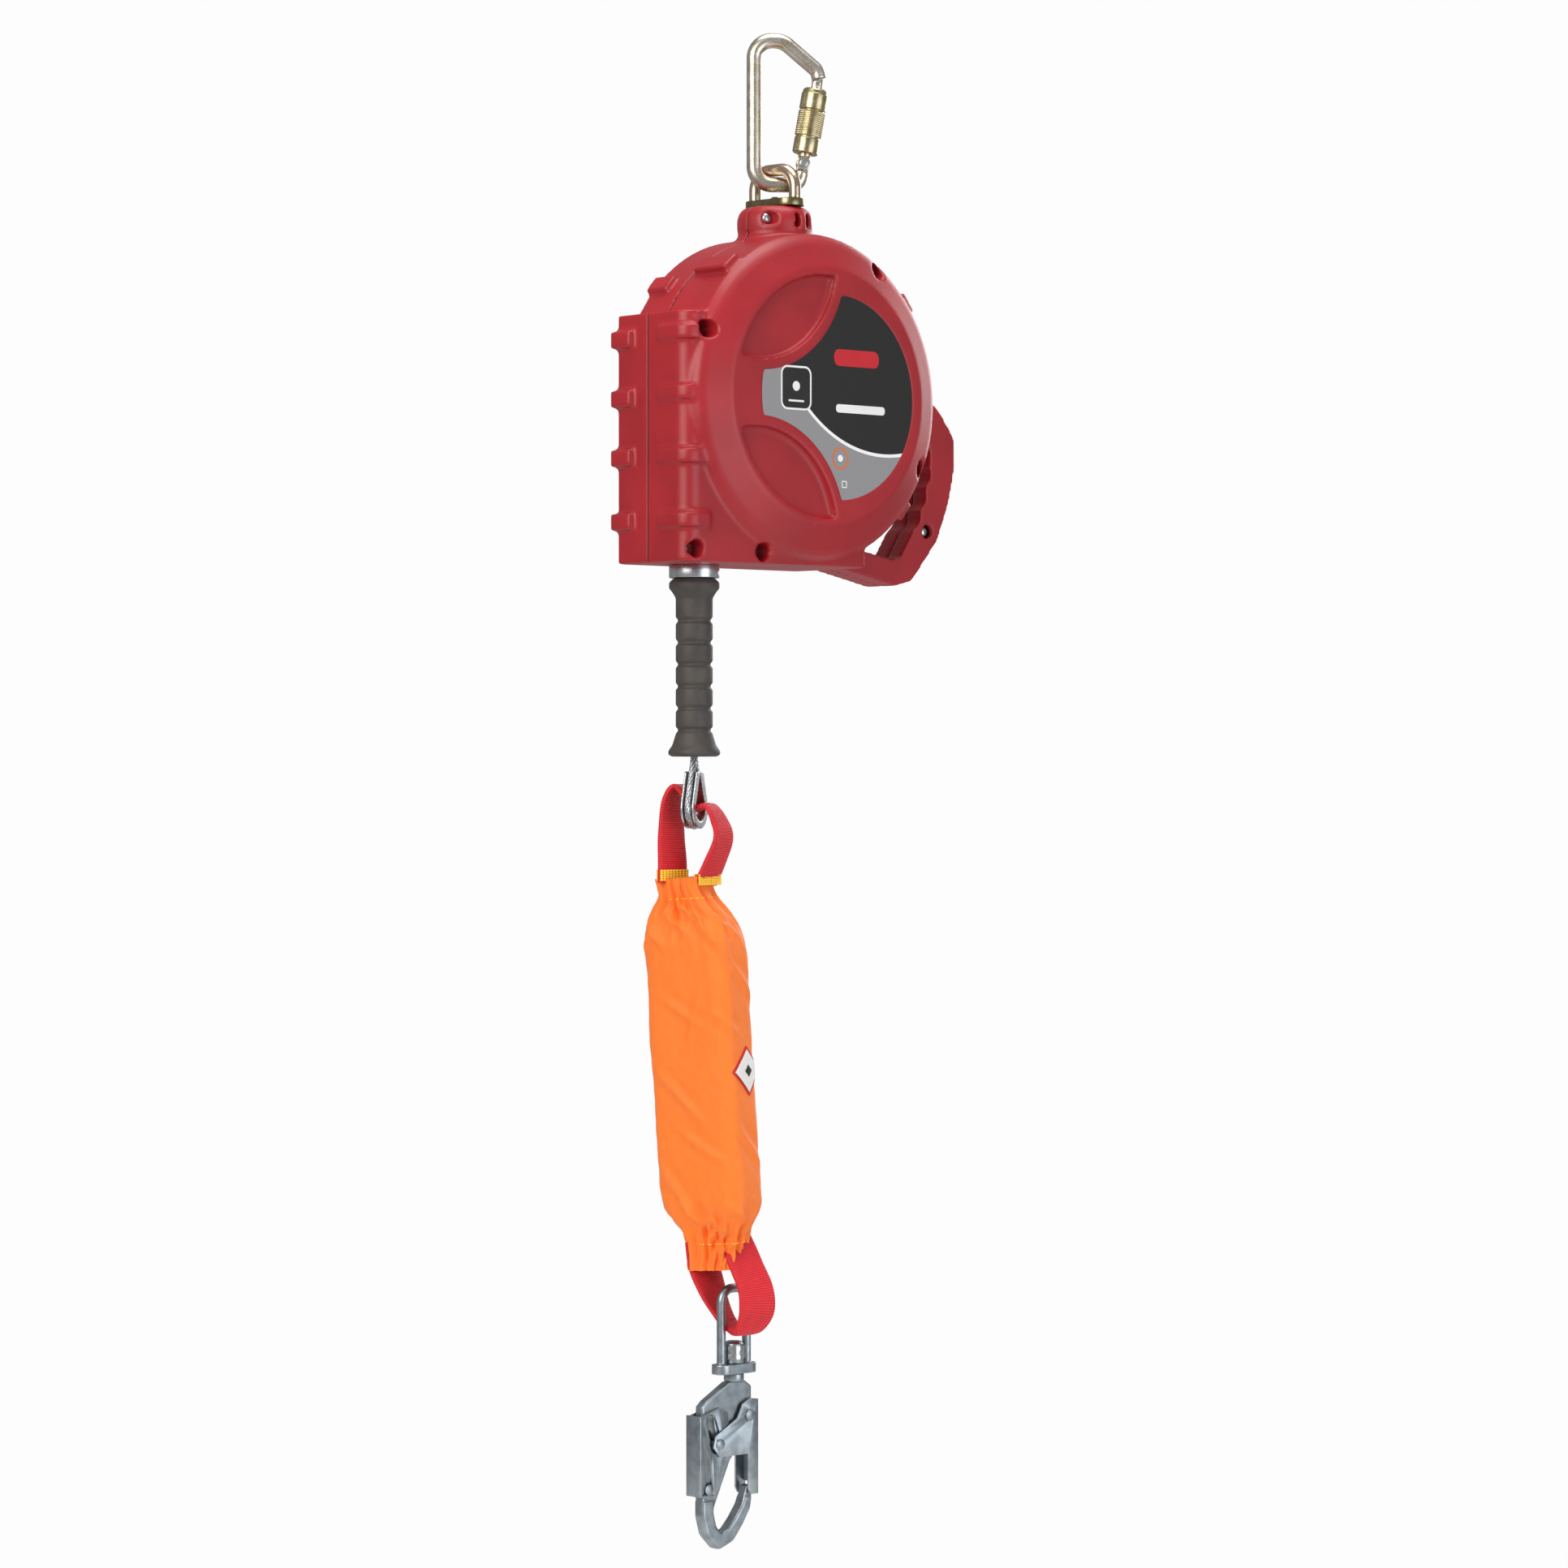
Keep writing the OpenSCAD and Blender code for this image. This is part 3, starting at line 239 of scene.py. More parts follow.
# narrow polyester webbing: a weft rib every 1.6 mm and warp every 1.1 mm; on both webbings the ribs keep their own
# colour and the grooves between them are darkened as painted shade
webbingThreads = [(1.6, None, 0.4), (None, 1.1, 0.12)]
redWebbing = woven("redPolyesterWebbing", "#ee1c2a", "#a80e1a", webbingThreads, 0.22, 0.62, Sheen_Weight=0.06)
paleWebbing = woven("tearWebbing", "#dcd8c8", "#a8a394", webbingThreads, 0.2, 0.7)
# coated plain weave nylon; the real 0.4 mm thread is drawn at 1.3 mm so that it shows, with a little painted shade
# between the threads
clothThreads = [(1.3, None, 0.16), (None, 1.3, 0.16)]
orangeCloth = woven("coatedOrangeNylon", "#ff8420", "#f06c10", clothThreads, 0.08, 0.66, 0, 0.45,
                    Sheen_Weight=0.15)
# bonded thread, twisted in plies about 1.2 mm long, with a little painted shade between the plies
yellowThread = woven("yellowBondedThread", "#ffd640", "#ffc22c", [(1.2, 0.8, 0.4)], 0.15, 0.55)
# galvanised wires laid in strands, drawn 0.9 mm apart so that they show, with dark grey painted shade between the
# wires
ropeSteel = woven("galvanisedRopeWire", "#eceef0", "#55575a", [(2.6, 0.9, 0.45)], 0.12, 0.3, 1)

labelValues = {"arcRight": 55.2, "arcUp": 68.4, "arcRadius": 107, "line": 1.7, "span": 200,
               "black": "#1e1b1a", "white": "#f2f2f0", "grey": "#8f8d8e"}


# black above an arc about a point off the label, a white line along it, and grey below
def printedLabel():
    material, tree, bsdf, place = startMaterial("printedLabelFilm")
    low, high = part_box("front_label")
    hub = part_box("main_shaft")
    centre = ((hub[0].x + hub[1].x) / 2 + labelValues["arcRight"] * mm, low.y,
              (hub[0].z + hub[1].z) / 2 + labelValues["arcUp"] * mm)
    away = addNode(tree, "ShaderNodeVectorMath", {"operation": "DISTANCE", 1: centre}, {0: place})
    share = addNode(tree, "ShaderNodeMath", {"operation": "DIVIDE", 1: labelValues["span"] * mm},
                    {0: away.outputs[1]})
    edge = labelValues["arcRadius"] / labelValues["span"]
    rim = (labelValues["arcRadius"] + labelValues["line"]) / labelValues["span"]
    stops = [(0, linear(labelValues["black"])), (edge, linear(labelValues["white"])),
             (rim, linear(labelValues["grey"]))]
    ramp = addNode(tree, "ShaderNodeValToRGB", {"stops": stops}, {0: share.outputs[0]})
    ramp.color_ramp.interpolation = "CONSTANT"
    fine = addNode(tree, "ShaderNodeTexNoise", {"Scale": 900, "Detail": 3}, {"Vector": place})
    relief = addNode(tree, "ShaderNodeBump", {"Strength": 0.25, "Distance": 0.02 * mm},
                     {"Height": fine.outputs[0]})
    gloss = addNode(tree, "ShaderNodeMapRange", {"To Min": 0.3, "To Max": 0.4}, {"Value": fine.outputs[0]})
    tree.links.new(ramp.outputs[0], bsdf.inputs["Base Color"])
    tree.links.new(relief.outputs[0], bsdf.inputs["Normal"])
    tree.links.new(gloss.outputs[0], bsdf.inputs["Roughness"])
    return material


# a dark line of painted shade runs all round where the two shells meet
seamShadeValues = {"halfWidth": 0.45, "colour": "#3c070b"}


def paintedSeamShade(material, level):
    tree = material.node_tree
    bsdf = tree.nodes["Principled BSDF"]
    place = addNode(tree, "ShaderNodeTexCoord").outputs["Object"]
    parts = addNode(tree, "ShaderNodeSeparateXYZ", {}, {0: place})
    halfWidth = seamShadeValues["halfWidth"] * mm
    # painted shade: a band within half a width of the shells' meeting plane is tinted dark red over the moulded
    # colour
    near = addNode(tree, "ShaderNodeMath", {"operation": "COMPARE", 1: level, 2: halfWidth},
                   {0: parts.outputs[1]})
    moulded = bsdf.inputs["Base Color"].links[0].from_socket
    tint = addNode(tree, "ShaderNodeMix", {"data_type": "RGBA", 7: linear(seamShadeValues["colour"])},
                   {0: near.outputs[0], 6: moulded})
    tree.links.new(tint.outputs[2], bsdf.inputs["Base Color"])


paintedSeamShade(plain["red_plastic"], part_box("front_housing")[1].y)
slotMaterials = {**steel, **plain, "label_film": printedLabel(), "red_webbing": redWebbing,
                 "pale_webbing": paleWebbing, "orange_fabric": orangeCloth, "yellow_thread": yellowThread,
                 "rope_steel": ropeSteel}
for row in frame["record"]["subparts"]:
    mesh = nodes[row["node"]].data
    mesh.materials.clear()
    mesh.materials.append(slotMaterials[row["material_slot"]])
slotOf = {row["node"]: row["material_slot"] for row in frame["record"]["subparts"]}
print("stage: materials made,", len(bpy.data.materials))


# mesh helpers

def cleanMesh(mesh, smoothAngle=32):
    work = bmesh.new()
    work.from_mesh(mesh)
    bmesh.ops.remove_doubles(work, verts=work.verts, dist=0.002 * mm)
    bmesh.ops.recalc_face_normals(work, faces=work.faces)
    work.to_mesh(mesh)
    work.free()
    mesh.shade_smooth()
    mesh.set_sharp_from_angle(angle=math.radians(smoothAngle))
    return mesh


def addPiece(name, mesh, body, material, replaces=()):
    mesh.materials.clear()
    mesh.materials.append(material)
    piece = bpy.data.objects.new(name, mesh)
    scene.collection.objects.link(piece)
    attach(piece, body)
    if replaces:
        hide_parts(*replaces)
    return piece


def cadCopy(node, flat=0.5):
    work = bmesh.new()
    work.from_mesh(nodes[node].data)
    bmesh.ops.remove_doubles(work, verts=work.verts, dist=0.002 * mm)
    bmesh.ops.dissolve_limit(work, angle_limit=math.radians(flat), verts=work.verts, edges=work.edges)
    points = [v.co.copy() for v in work.verts]
    work.verts.index_update()
    faces = [[v.index for v in f.verts] for f in work.faces]
    work.free()
    mesh = bpy.data.meshes.new(node + "Copy")
    mesh.from_pydata(points, [], faces)
    return mesh


def evaluated(mesh, modifiers):
    holder = bpy.data.objects.new("holder", mesh)
    scene.collection.objects.link(holder)
    for kind, settings in modifiers:
        modifier = holder.modifiers.new(kind, kind)
        for key, value in settings.items():
            setattr(modifier, key, value)
    ready = holder.evaluated_get(bpy.context.evaluated_depsgraph_get())
    made = bpy.data.meshes.new_from_object(ready)
    bpy.data.objects.remove(holder)
    return made


# a forging or moulding: one skin of small cells, relaxed until its edges are soft
def forged(node, voxel, relax, body):
    mesh = evaluated(cadCopy(node, 0.01), [("REMESH", {"mode": "VOXEL", "voxel_size": voxel * mm}),
                     ("SMOOTH", {"factor": 0.5, "iterations": relax})])
    mesh.shade_smooth()
    return addPiece(node + "Skin", mesh, body, slotMaterials[slotOf[node]], [node])


# a turned or pressed piece: its own faces with a small round on each edge
def eased(node, radius, body, material=None):
    mesh = evaluated(cadCopy(node), [("BEVEL", {"width": radius * mm, "segments": 2, "limit_method": "ANGLE",
                     "angle_limit": math.radians(35), "use_clamp_overlap": True})])
    cleanMesh(mesh, 40)
    return addPiece(node + "Skin", mesh, body, material or slotMaterials[slotOf[node]], [node])


# a skin over rings of points, marked in metres along and around; closed joins the last ring to the first
def ringSkin(name, rings, closed=False):
    count = len(rings[0])
    points = [p for ring in rings for p in ring]
    mesh = bpy.data.meshes.new(name)
    faces, marks = [], []
    along = [0.0]
    for i in range(len(rings)):
        step = rings[(i + 1) % len(rings)]
        along.append(along[-1] + (sum(step, Vector()) / count - sum(rings[i], Vector()) / count).length)
    around = [0.0]
    widest = max(rings, key=lambda ring: sum((ring[k] - ring[k - 1]).length for k in range(count)))
    for k in range(count):
        around.append(around[-1] + (widest[(k + 1) % count] - widest[k]).length)
    for i in range(len(rings) if closed else len(rings) - 1):
        low, high = i * count, (i + 1) % len(rings) * count
        for k in range(count):
            n = (k + 1) % count
            faces.append([low + k, low + n, high + n, high + k])
            marks += [(along[i], around[k]), (along[i], around[k + 1]), (along[i + 1], around[k + 1]),
                      (along[i + 1], around[k])]
    if not closed:
        for first in (0, len(points) - count):
            faces.append([first + k for k in range(count)])
            marks += [(along[-1] * (first > 0), around[k]) for k in range(count)]
    mesh.from_pydata(points, [], faces)
    layer = mesh.uv_layers.new(name="UVMap")
    for loop, mark in zip(layer.data, marks):
        loop.uv = mark
    return cleanMesh(mesh)


def roundedProfile(profile, radius):
    steps, out = 3, []
    for i, p in enumerate(profile):
        p, a, b = Vector(p), Vector(profile[i - 1]), Vector(profile[(i + 1) % len(profile)])
        back = min(radius, 0.45 * (a - p).length, 0.45 * (b - p).length)
        start, end = p + (a - p).normalized() * back, p + (b - p).normalized() * back
        for k in range(steps + 1):
            t = k / steps
            out.append(start * (1 - t) ** 2 + p * 2 * t * (1 - t) + end * t * t)
    return out


# turns a closed profile of radius and height about an axis, its corners rounded
def lathe(name, profile, origin, axis, radius):
    sides = 96
    spin = Vector((0, 0, 1)).rotation_difference(Vector(axis)).to_matrix()
    rings = []
    for r, h in roundedProfile(profile, radius):
        rings.append([Vector(origin) + spin @ (Vector((r * math.cos(2 * math.pi * k / sides),
                      r * math.sin(2 * math.pi * k / sides), h)) * mm) for k in range(sides)])
    return ringSkin(name, rings, True)


def alongAxis(node, origin, axis):
    spots = [(v.co - Vector(origin)).dot(Vector(axis)) / mm for v in nodes[node].data.vertices]
    return min(spots), max(spots)


def islands(node):
    work = bmesh.new()
    work.from_mesh(nodes[node].data)
    bmesh.ops.remove_doubles(work, verts=work.verts, dist=0.002 * mm)
    left, boxes = set(work.verts), []
    while left:
        stack, group = [left.pop()], []
        while stack:
            v = stack.pop()
            group.append(v.co.copy())
            for e in v.link_edges:
                other = e.other_vert(v)
                if other in left:
                    left.remove(other)
                    stack.append(other)
        boxes.append((Vector([min(c[i] for c in group) for i in range(3)]),
                      Vector([max(c[i] for c in group) for i in range(3)])))
    work.free()
    return sorted(boxes, key=lambda b: tuple(b[0]))


# carabiner

gateOrigin = Vector(joints["gate_hinge"]["pos_m"])
gateAxis = Vector(joints["sleeve_twist"]["axis"])
forged("carabiner_body", 0.55, 5, "carabiner")
forged("carabiner_gate", 0.5, 3, "gate")
eased("gate_rivet", 0.4, "carabiner")
sleeve = {"bore": 4.95, "outer": 9.7, "plain": 9.3, "groove": 8.7, "knurlLow": 13, "knurlHigh": 31,
          "knurlBase": 9.25, "edge": 0.4, "teethAround": 46, "teethRows": 13, "toothWidth": 1.55,
          "toothHeight": 0.5, "toothLength": 1.7, "toothSunk": 0.06}
sleeveLow, sleeveHigh = alongAxis("lock_sleeve", gateOrigin, gateAxis)
top = sleeveHigh - sleeveLow
knurlLow, knurlHigh = sleeve["knurlLow"], sleeve["knurlHigh"]
sleeveProfile = [
    (sleeve["bore"], 0), (sleeve["plain"] - 1, 0), (sleeve["plain"], 1), (sleeve["plain"], knurlLow - 1.6),
    (sleeve["groove"], knurlLow - 1.2), (sleeve["groove"], knurlLow - 0.3), (sleeve["knurlBase"], knurlLow),
    (sleeve["knurlBase"], knurlHigh), (sleeve["groove"], knurlHigh + 0.3),
    (sleeve["groove"], knurlHigh + 1.2), (sleeve["outer"], knurlHigh + 1.6), (sleeve["outer"], top - 4),
    (sleeve["plain"], top - 3.4), (sleeve["plain"] - 0.3, top - 1.2), (sleeve["plain"] - 1.5, top),
    (sleeve["bore"], top)]
sleeveFoot = gateOrigin + gateAxis * sleeveLow * mm
sleeveMesh = lathe("lockSleeve", sleeveProfile, sleeveFoot, gateAxis, sleeve["edge"])
addPiece("lockSleeve", sleeveMesh, "sleeve", steel["sleeve_brass"], ["lock_sleeve"])


# one tree stands a small shape on every point, turned to the point's own direction

def scatterTree(name, shapeKind):
    tree = bpy.data.node_groups.new(name, "GeometryNodeTree")
    tree.interface.new_socket("Points", in_out="INPUT", socket_type="NodeSocketGeometry")
    for label in ("Across", "Height", "Length"):
        tree.interface.new_socket(label, in_out="INPUT", socket_type="NodeSocketFloat")
    tree.interface.new_socket("Finish", in_out="INPUT", socket_type="NodeSocketMaterial")
    tree.interface.new_socket("Pieces", in_out="OUTPUT", socket_type="NodeSocketGeometry")
    given = addNode(tree, "NodeGroupInput")
    face = addNode(tree, "GeometryNodeInputNamedAttribute", {"data_type": "FLOAT_VECTOR", "Name": "facing"})
    along = addNode(tree, "GeometryNodeInputNamedAttribute", {"data_type": "FLOAT_VECTOR", "Name": "along"})
    aim = addNode(tree, "FunctionNodeAlignEulerToVector", {"axis": "Z"}, {"Vector": face.outputs[0]})
    aim = addNode(tree, "FunctionNodeAlignEulerToVector", {"axis": "X", "pivot_axis": "Z"},
                  {"Rotation": aim.outputs[0], "Vector": along.outputs[0]})
    size = addNode(tree, "ShaderNodeCombineXYZ", {}, {0: given.outputs["Length"], 1: given.outputs["Across"],
                   2: given.outputs["Height"]})
    if shapeKind == "tooth":  # a four sided point, as a knurling wheel leaves
        shape = addNode(tree, "GeometryNodeMeshCone", {"Vertices": 4, "Radius Top": 0.12,
                        "Radius Bottom": 0.5, "Depth": 1.0}).outputs[0]
    elif shapeKind == "stitch":  # a short fat thread, pulled down at both ends
        shape = addNode(tree, "GeometryNodeMeshUVSphere", {"Segments": 8, "Rings": 6,
                        "Radius": 0.5}).outputs[0]
    else:  # a pan head with a six sided socket
        dome = addNode(tree, "GeometryNodeMeshUVSphere", {"Segments": 32, "Rings": 16,
                       "Radius": 0.5}).outputs[0]
        well = addNode(tree, "GeometryNodeMeshCylinder", {"Vertices": 6, "Radius": 0.2,
                       "Depth": 0.7}).outputs[0]
        lifted = addNode(tree, "GeometryNodeTransform", {"Translation": (0, 0, 0.62)}, {0: well}).outputs[0]
        shape = addNode(tree, "GeometryNodeMeshBoolean", {"operation": "DIFFERENCE"},
                        {0: dome, 1: lifted}).outputs[0]
    spread = addNode(tree, "GeometryNodeInstanceOnPoints", {}, {0: given.outputs["Points"], "Instance": shape,
                     "Rotation": aim.outputs[0], "Scale": size.outputs[0]})
    real = addNode(tree, "GeometryNodeRealizeInstances", {}, {0: spread.outputs[0]})
    finish = addNode(tree, "GeometryNodeSetMaterial", {},
                     {0: real.outputs[0], "Material": given.outputs["Finish"]})
    addNode(tree, "NodeGroupOutput", {}, {0: finish.outputs[0]})
    return tree


trees = {kind: scatterTree(kind + "Scatter", kind) for kind in ("tooth", "stitch", "screw")}


# each row is a spot, the way that its shape faces and the way that its length runs
def scatter(name, kind, rows, across, height, length, body, material, replaces=()):
    mesh = bpy.data.meshes.new(name)
    mesh.from_pydata([row[0] for row in rows], [], [])
    for label, index in (("facing", 1), ("along", 2)):
        attribute = mesh.attributes.new(label, "FLOAT_VECTOR", "POINT")
        attribute.data.foreach_set("vector", [c for row in rows for c in row[index]])
    holder = bpy.data.objects.new(name + "Points", mesh)
    scene.collection.objects.link(holder)
    modifier = holder.modifiers.new("scatter", "NODES")
    modifier.node_group = trees[kind]
    sockets = {s.name: s.identifier for s in trees[kind].interface.items_tree if s.in_out == "INPUT"}
    for label, value in (("Across", across * mm), ("Height", height * mm), ("Length", length * mm),
                         ("Finish", material)):
        modifier[sockets[label]] = value
    made = bpy.data.meshes.new_from_object(holder.evaluated_get(bpy.context.evaluated_depsgraph_get()))
    bpy.data.objects.remove(holder)
    made.shade_smooth()
    made.set_sharp_from_angle(angle=math.radians(40))
    return addPiece(name, made, body, material, replaces)


side = gateAxis.orthogonal().normalized()
other = gateAxis.cross(side)
rowPitch = (knurlHigh - knurlLow) / sleeve["teethRows"]
knurl = []
for row in range(sleeve["teethRows"]):
    middleOfRow = gateOrigin + gateAxis * (sleeveLow + knurlLow + (row + 0.5) * rowPitch) * mm
    for k in range(sleeve["teethAround"]):
        a = 2 * math.pi * (k + 0.5 * (row % 2)) / sleeve["teethAround"]
        out = side * math.cos(a) + other * math.sin(a)
        knurl.append((middleOfRow + out * (sleeve["knurlBase"] - sleeve["toothSunk"]) * mm, out, gateAxis))
scatter("sleeveKnurl", "tooth", knurl, sleeve["toothWidth"], sleeve["toothHeight"], sleeve["toothLength"],
        "sleeve", steel["sleeve_brass"])
print("stage: carabiner done")


# swivel eye

forged("swivel_eye", 0.55, 4, "eye")
olivePlate = surface("oliveZincPlate", "#8f8768", "#77704f", 8, 0.3, 0.06, 0.7, 0.04, 1)
eased("swivel_plate", 0.9, "eye", olivePlate)
eased("swivel_stud", 0.4, "eye")


# housing

housingValues = {"voxel": 1.5, "relax": 5}
for node in ("front_housing", "rear_housing"):
    forged(node, housingValues["voxel"], housingValues["relax"], "housing")
eased("outlet_ring", 0.6, "housing")
screwValues = {"across": 8, "height": 5.2, "sunk": 1.8}
heads = []
for low, high in islands("housing_screws") + islands("neck_screws"):
    spot = Vector(((low.x + high.x) / 2, low.y + screwValues["sunk"] * mm, (low.z + high.z) / 2))
    heads.append((spot, Vector((0, -1, 0)), Vector((1, 0, 0))))
scatter("screwHeads", "screw", heads, screwValues["across"], screwValues["height"], screwValues["across"],
        "housing", steel["zinc_steel"], ["housing_screws", "neck_screws"])

# the label's plain print, as thin films measured from the hub
hubLow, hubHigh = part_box("main_shaft")
hub = Vector(((hubLow.x + hubHigh.x) / 2, 0, (hubLow.z + hubHigh.z) / 2))
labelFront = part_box("front_label")[0].y
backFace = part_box("rear_label")[1].y
filmValues = {"thick": 0.05, "layer": 0.06, "leastCorner": 0.4}


def roundedBox(width, height, corner):
    steps, out = 6, []
    for cx, cy, start in ((1, 1, 0), (-1, 1, 90), (-1, -1, 180), (1, -1, 270)):
        for k in range(steps + 1):
            a = math.radians(start + 90 * k / steps)
            out.append(Vector((cx * (width / 2 - corner) + corner * math.cos(a),
                               cy * (height / 2 - corner) + corner * math.sin(a))))
    return out


def film(name, width, height, corner, right, up, level, colour, rim=0, atBack=False):
    away = 1 if atBack else -1
    depth = (backFace if atBack else labelFront) + away * level * filmValues["layer"] * mm
    step = Vector((0, away * filmValues["thick"] * mm, 0))

    def place(outline):
        return [hub + Vector(((right + q.x) * mm, depth, (up + q.y) * mm)) for q in outline]

    near = place(roundedBox(width, height, corner))
    loops = [near, [q + step for q in near]]
    if rim:
        innerCorner = max(corner - rim, filmValues["leastCorner"])
        inner = place(roundedBox(width - 2 * rim, height - 2 * rim, innerCorner))
        loops += [[q + step for q in inner], inner]
    return addPiece(name, ringSkin(name, loops, bool(rim)), "housing", plain[colour])


labelPrints = [  # name, width, height, corner, right, up, layer, colour, then the width of a rim
    ("printRedBar", 44, 12, 5, 27.5, 28.7, 0.2, "printRed"),
    ("printWhiteBar", 48, 6, 2.5, 31.4, -7.7, 0.2, "printWhite"),
    ("printBadge", 27, 29, 5, -31.3, 4.7, 0.2, "printBlack"),
    ("printBadgeRim", 29.4, 31.4, 6, -31.3, 4.7, 0.4, "printWhite", 1.4),
    ("printBadgeDot", 7, 7, 3.49, -31.3, 6, 1.2, "printWhite"),
    ("printBadgeLine", 15, 1.4, 0.65, -31.3, -4.5, 1.2, "printWhite"),
    ("printRing", 16, 16, 7.99, 11.6, -43.5, 0.2, "printOrange", 1.3),
    ("printDot", 5, 5, 2.49, 11.6, -43.5, 0.2, "printWhite"),
    ("printSquare", 5, 5, 0.8, 15.5, -62, 0.2, "printWhite", 0.7)]
for row in labelPrints:
    film(*row)
for i in range(5):
    short = i % 2
    film("backLine" + str(i), 72 - 14 * short, 2.2, 1, -4 - 6 * short, 18 - 8 * i, 0.2, "printGrey", 0, True)
print("stage: housing done")


# rope, grip and thimble

gripLow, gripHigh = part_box("grip")
lineX, lineY = (gripLow.x + gripHigh.x) / 2, (gripLow.y + gripHigh.y) / 2
grip = {"radius": 13.2, "groove": 11.7, "grooves": 6, "first": 30, "pitch": 15.6, "slope": 1.6,
        "bore": 2.46, "edge": 1.0}
tall = (gripHigh.z - gripLow.z) / mm
profile = [(grip["bore"], 0), (15, 0), (18, -3), (18, -7), (15.5, -10), (grip["radius"], -14)]
for i in range(grip["grooves"]):
    for k in range(4):
        across = grip["radius"] if k in (0, 3) else grip["groove"]
        profile.append((across, -grip["first"] - grip["pitch"] * i + (1.5 - k) * grip["slope"]))
profile += [(grip["radius"], 16 - tall), (grip["radius"] + 2.5, 8 - tall), (18.5, 4 - tall),
            (18.5, 1.5 - tall), (16, -tall), (grip["bore"], -tall)]
gripMesh = lathe("rubberGrip", profile, (lineX, lineY, gripHigh.z), (0, 0, 1), grip["edge"])
addPiece("rubberGrip", gripMesh, "lifeline_end", plain["grip_rubber"], ["grip"])

rope = {"diameter": 4.8, "strands": 6, "strandRadius": 0.84, "lay": 30, "loopRadius": 12.8, "apex": 38.5,
        "turn": 27, "step": 1.2}
cableLow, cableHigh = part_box("lifeline_cable")
loopCentre = Vector((lineX, lineY, cableLow.z + (rope["loopRadius"] + rope["diameter"] / 2) * mm))
lean = math.asin(rope["loopRadius"] / rope["apex"])
loopAcross = Vector((math.cos(math.radians(rope["turn"])), math.sin(math.radians(rope["turn"])), 0))
loopTop = loopCentre + Vector((0, 0, rope["apex"] * mm))
corners = [Vector((lineX, lineY, cableHigh.z)), loopTop]
for k in range(41):
    a = lean - k * (math.pi + 2 * lean) / 40
    corners.append(loopCentre + loopAcross * -math.cos(a) * rope["loopRadius"] * mm
                   + Vector((0, 0, math.sin(a) * rope["loopRadius"] * mm)))
corners.append(loopTop)


def resample(points, step):
    out, left = [points[0].copy()], step
    for a, b in zip(points, points[1:]):
        span = (b - a).length
        while left <= span:
            out.append(a + (b - a) * (left / span))
            left += step
        left -= span
    return out


def softened(points, times):
    for _ in range(times):
        points = [points[0]] + [(points[i - 1] + points[i] * 2 + points[i + 1]) / 4
                                for i in range(1, len(points) - 1)] + [points[-1]]
    return points


# the two crosswise directions at each point of a path, carried along it without twist
def carried(path):
    out, across = [], None
    for i, spot in enumerate(path):
        along = (path[min(i + 1, len(path) - 1)] - path[max(i - 1, 0)]).normalized()
        across = across or along.orthogonal()
        across = (across - along * across.dot(along)).normalized()
        out.append((spot, across, along.cross(across)))
    return out


def tube(name, path, radius):
    sides, rings = 8, []
    for spot, across, lift in carried(path):
        turns = [2 * math.pi * k / sides for k in range(sides)]
        rings.append([spot + (across * math.cos(a) + lift * math.sin(a)) * radius * mm for a in turns])
    return ringSkin(name, rings)


# strands laid round a core strand
def ropeMesh(name, path):
    travelled = [0]
    for a, b in zip(path, path[1:]):
        travelled.append(travelled[-1] + (b - a).length / mm)
    work = bmesh.new()
    for strandIndex in range(rope["strands"] + 1):
        isCore = strandIndex == rope["strands"]
        out = 0 if isCore else (rope["diameter"] / 2 - rope["strandRadius"]) * mm
        line = []
        for (spot, across, lift), length in zip(carried(path), travelled):
            a = 2 * math.pi * (length / rope["lay"] + strandIndex / rope["strands"])
            line.append(spot + (across * math.cos(a) + lift * math.sin(a)) * out)
        strand = tube(name + "Strand", line, rope["strandRadius"])
        work.from_mesh(strand)
        bpy.data.meshes.remove(strand)
    mesh = bpy.data.meshes.new(name)
    work.to_mesh(mesh)
    work.free()
    mesh.shade_smooth()
    return mesh


ropePath = softened(resample(corners, rope["step"] * mm), 3)
addPiece("ropeStrands", ropeMesh("ropeStrands", ropePath), "lifeline_end", ropeSteel,
         ["lifeline_cable"])
forged("thimble", 0.45, 3, "lifeline_end")


# webbing

chainTurn = math.radians(cameraValues["azimuth"])
chainAlong = Vector((math.cos(chainTurn), math.sin(chainTurn), 0))
chainDeep = Vector((-math.sin(chainTurn), math.cos(chainTurn), 0))
webbingValues = {"rib": 1.6, "relief": 0.16, "cupped": 0.06, "upperThick": 3.6, "lowerThick": 4.4}
# along the chain, in depth, up from the thimble's centre, then width and turn of the width about Z
upperRoute = [
    (-15.5, 2, -53.5, 25, 40), (-15.5, 3, -40, 26, 42), (-16.2, 5, -18.5, 26, 48), (-16, 6, 3.5, 24, 55),
    (-11.5, 5.5, 15.5, 19, 64), (-5.5, 2.6, 8.5, 14, 69.4), (0, 0, -0.6, 14, 69.4), (6, -2.6, 1.5, 14, 69.4),
    (11.5, -4.5, 1.5, 18, 66), (17.5, -4.5, -8, 22, 62), (20.5, -4, -21, 25, 60), (14.5, -2, -39, 26, 56),
    (8, 0, -53.5, 26, 54)]
lowerRoute = [
    (5, 12, -308.5, 30, 40), (7, 12, -326.5, 28, 40), (12, 11, -342.5, 25, 42), (18.5, 9.5, -357.5, 19, 44),
    (23.5, 5.2, -366, 16, 42.4), (28.2, 0, -370, 15, 42.4), (33.5, -6, -372.5, 17, 42.4),
    (39, -11, -369.5, 24, 36), (44.5, -14, -356.5, 28, 30), (43.5, -12, -340.5, 28, 30),
    (36, -6, -322, 28, 34), (29, -2, -306, 28, 38)]


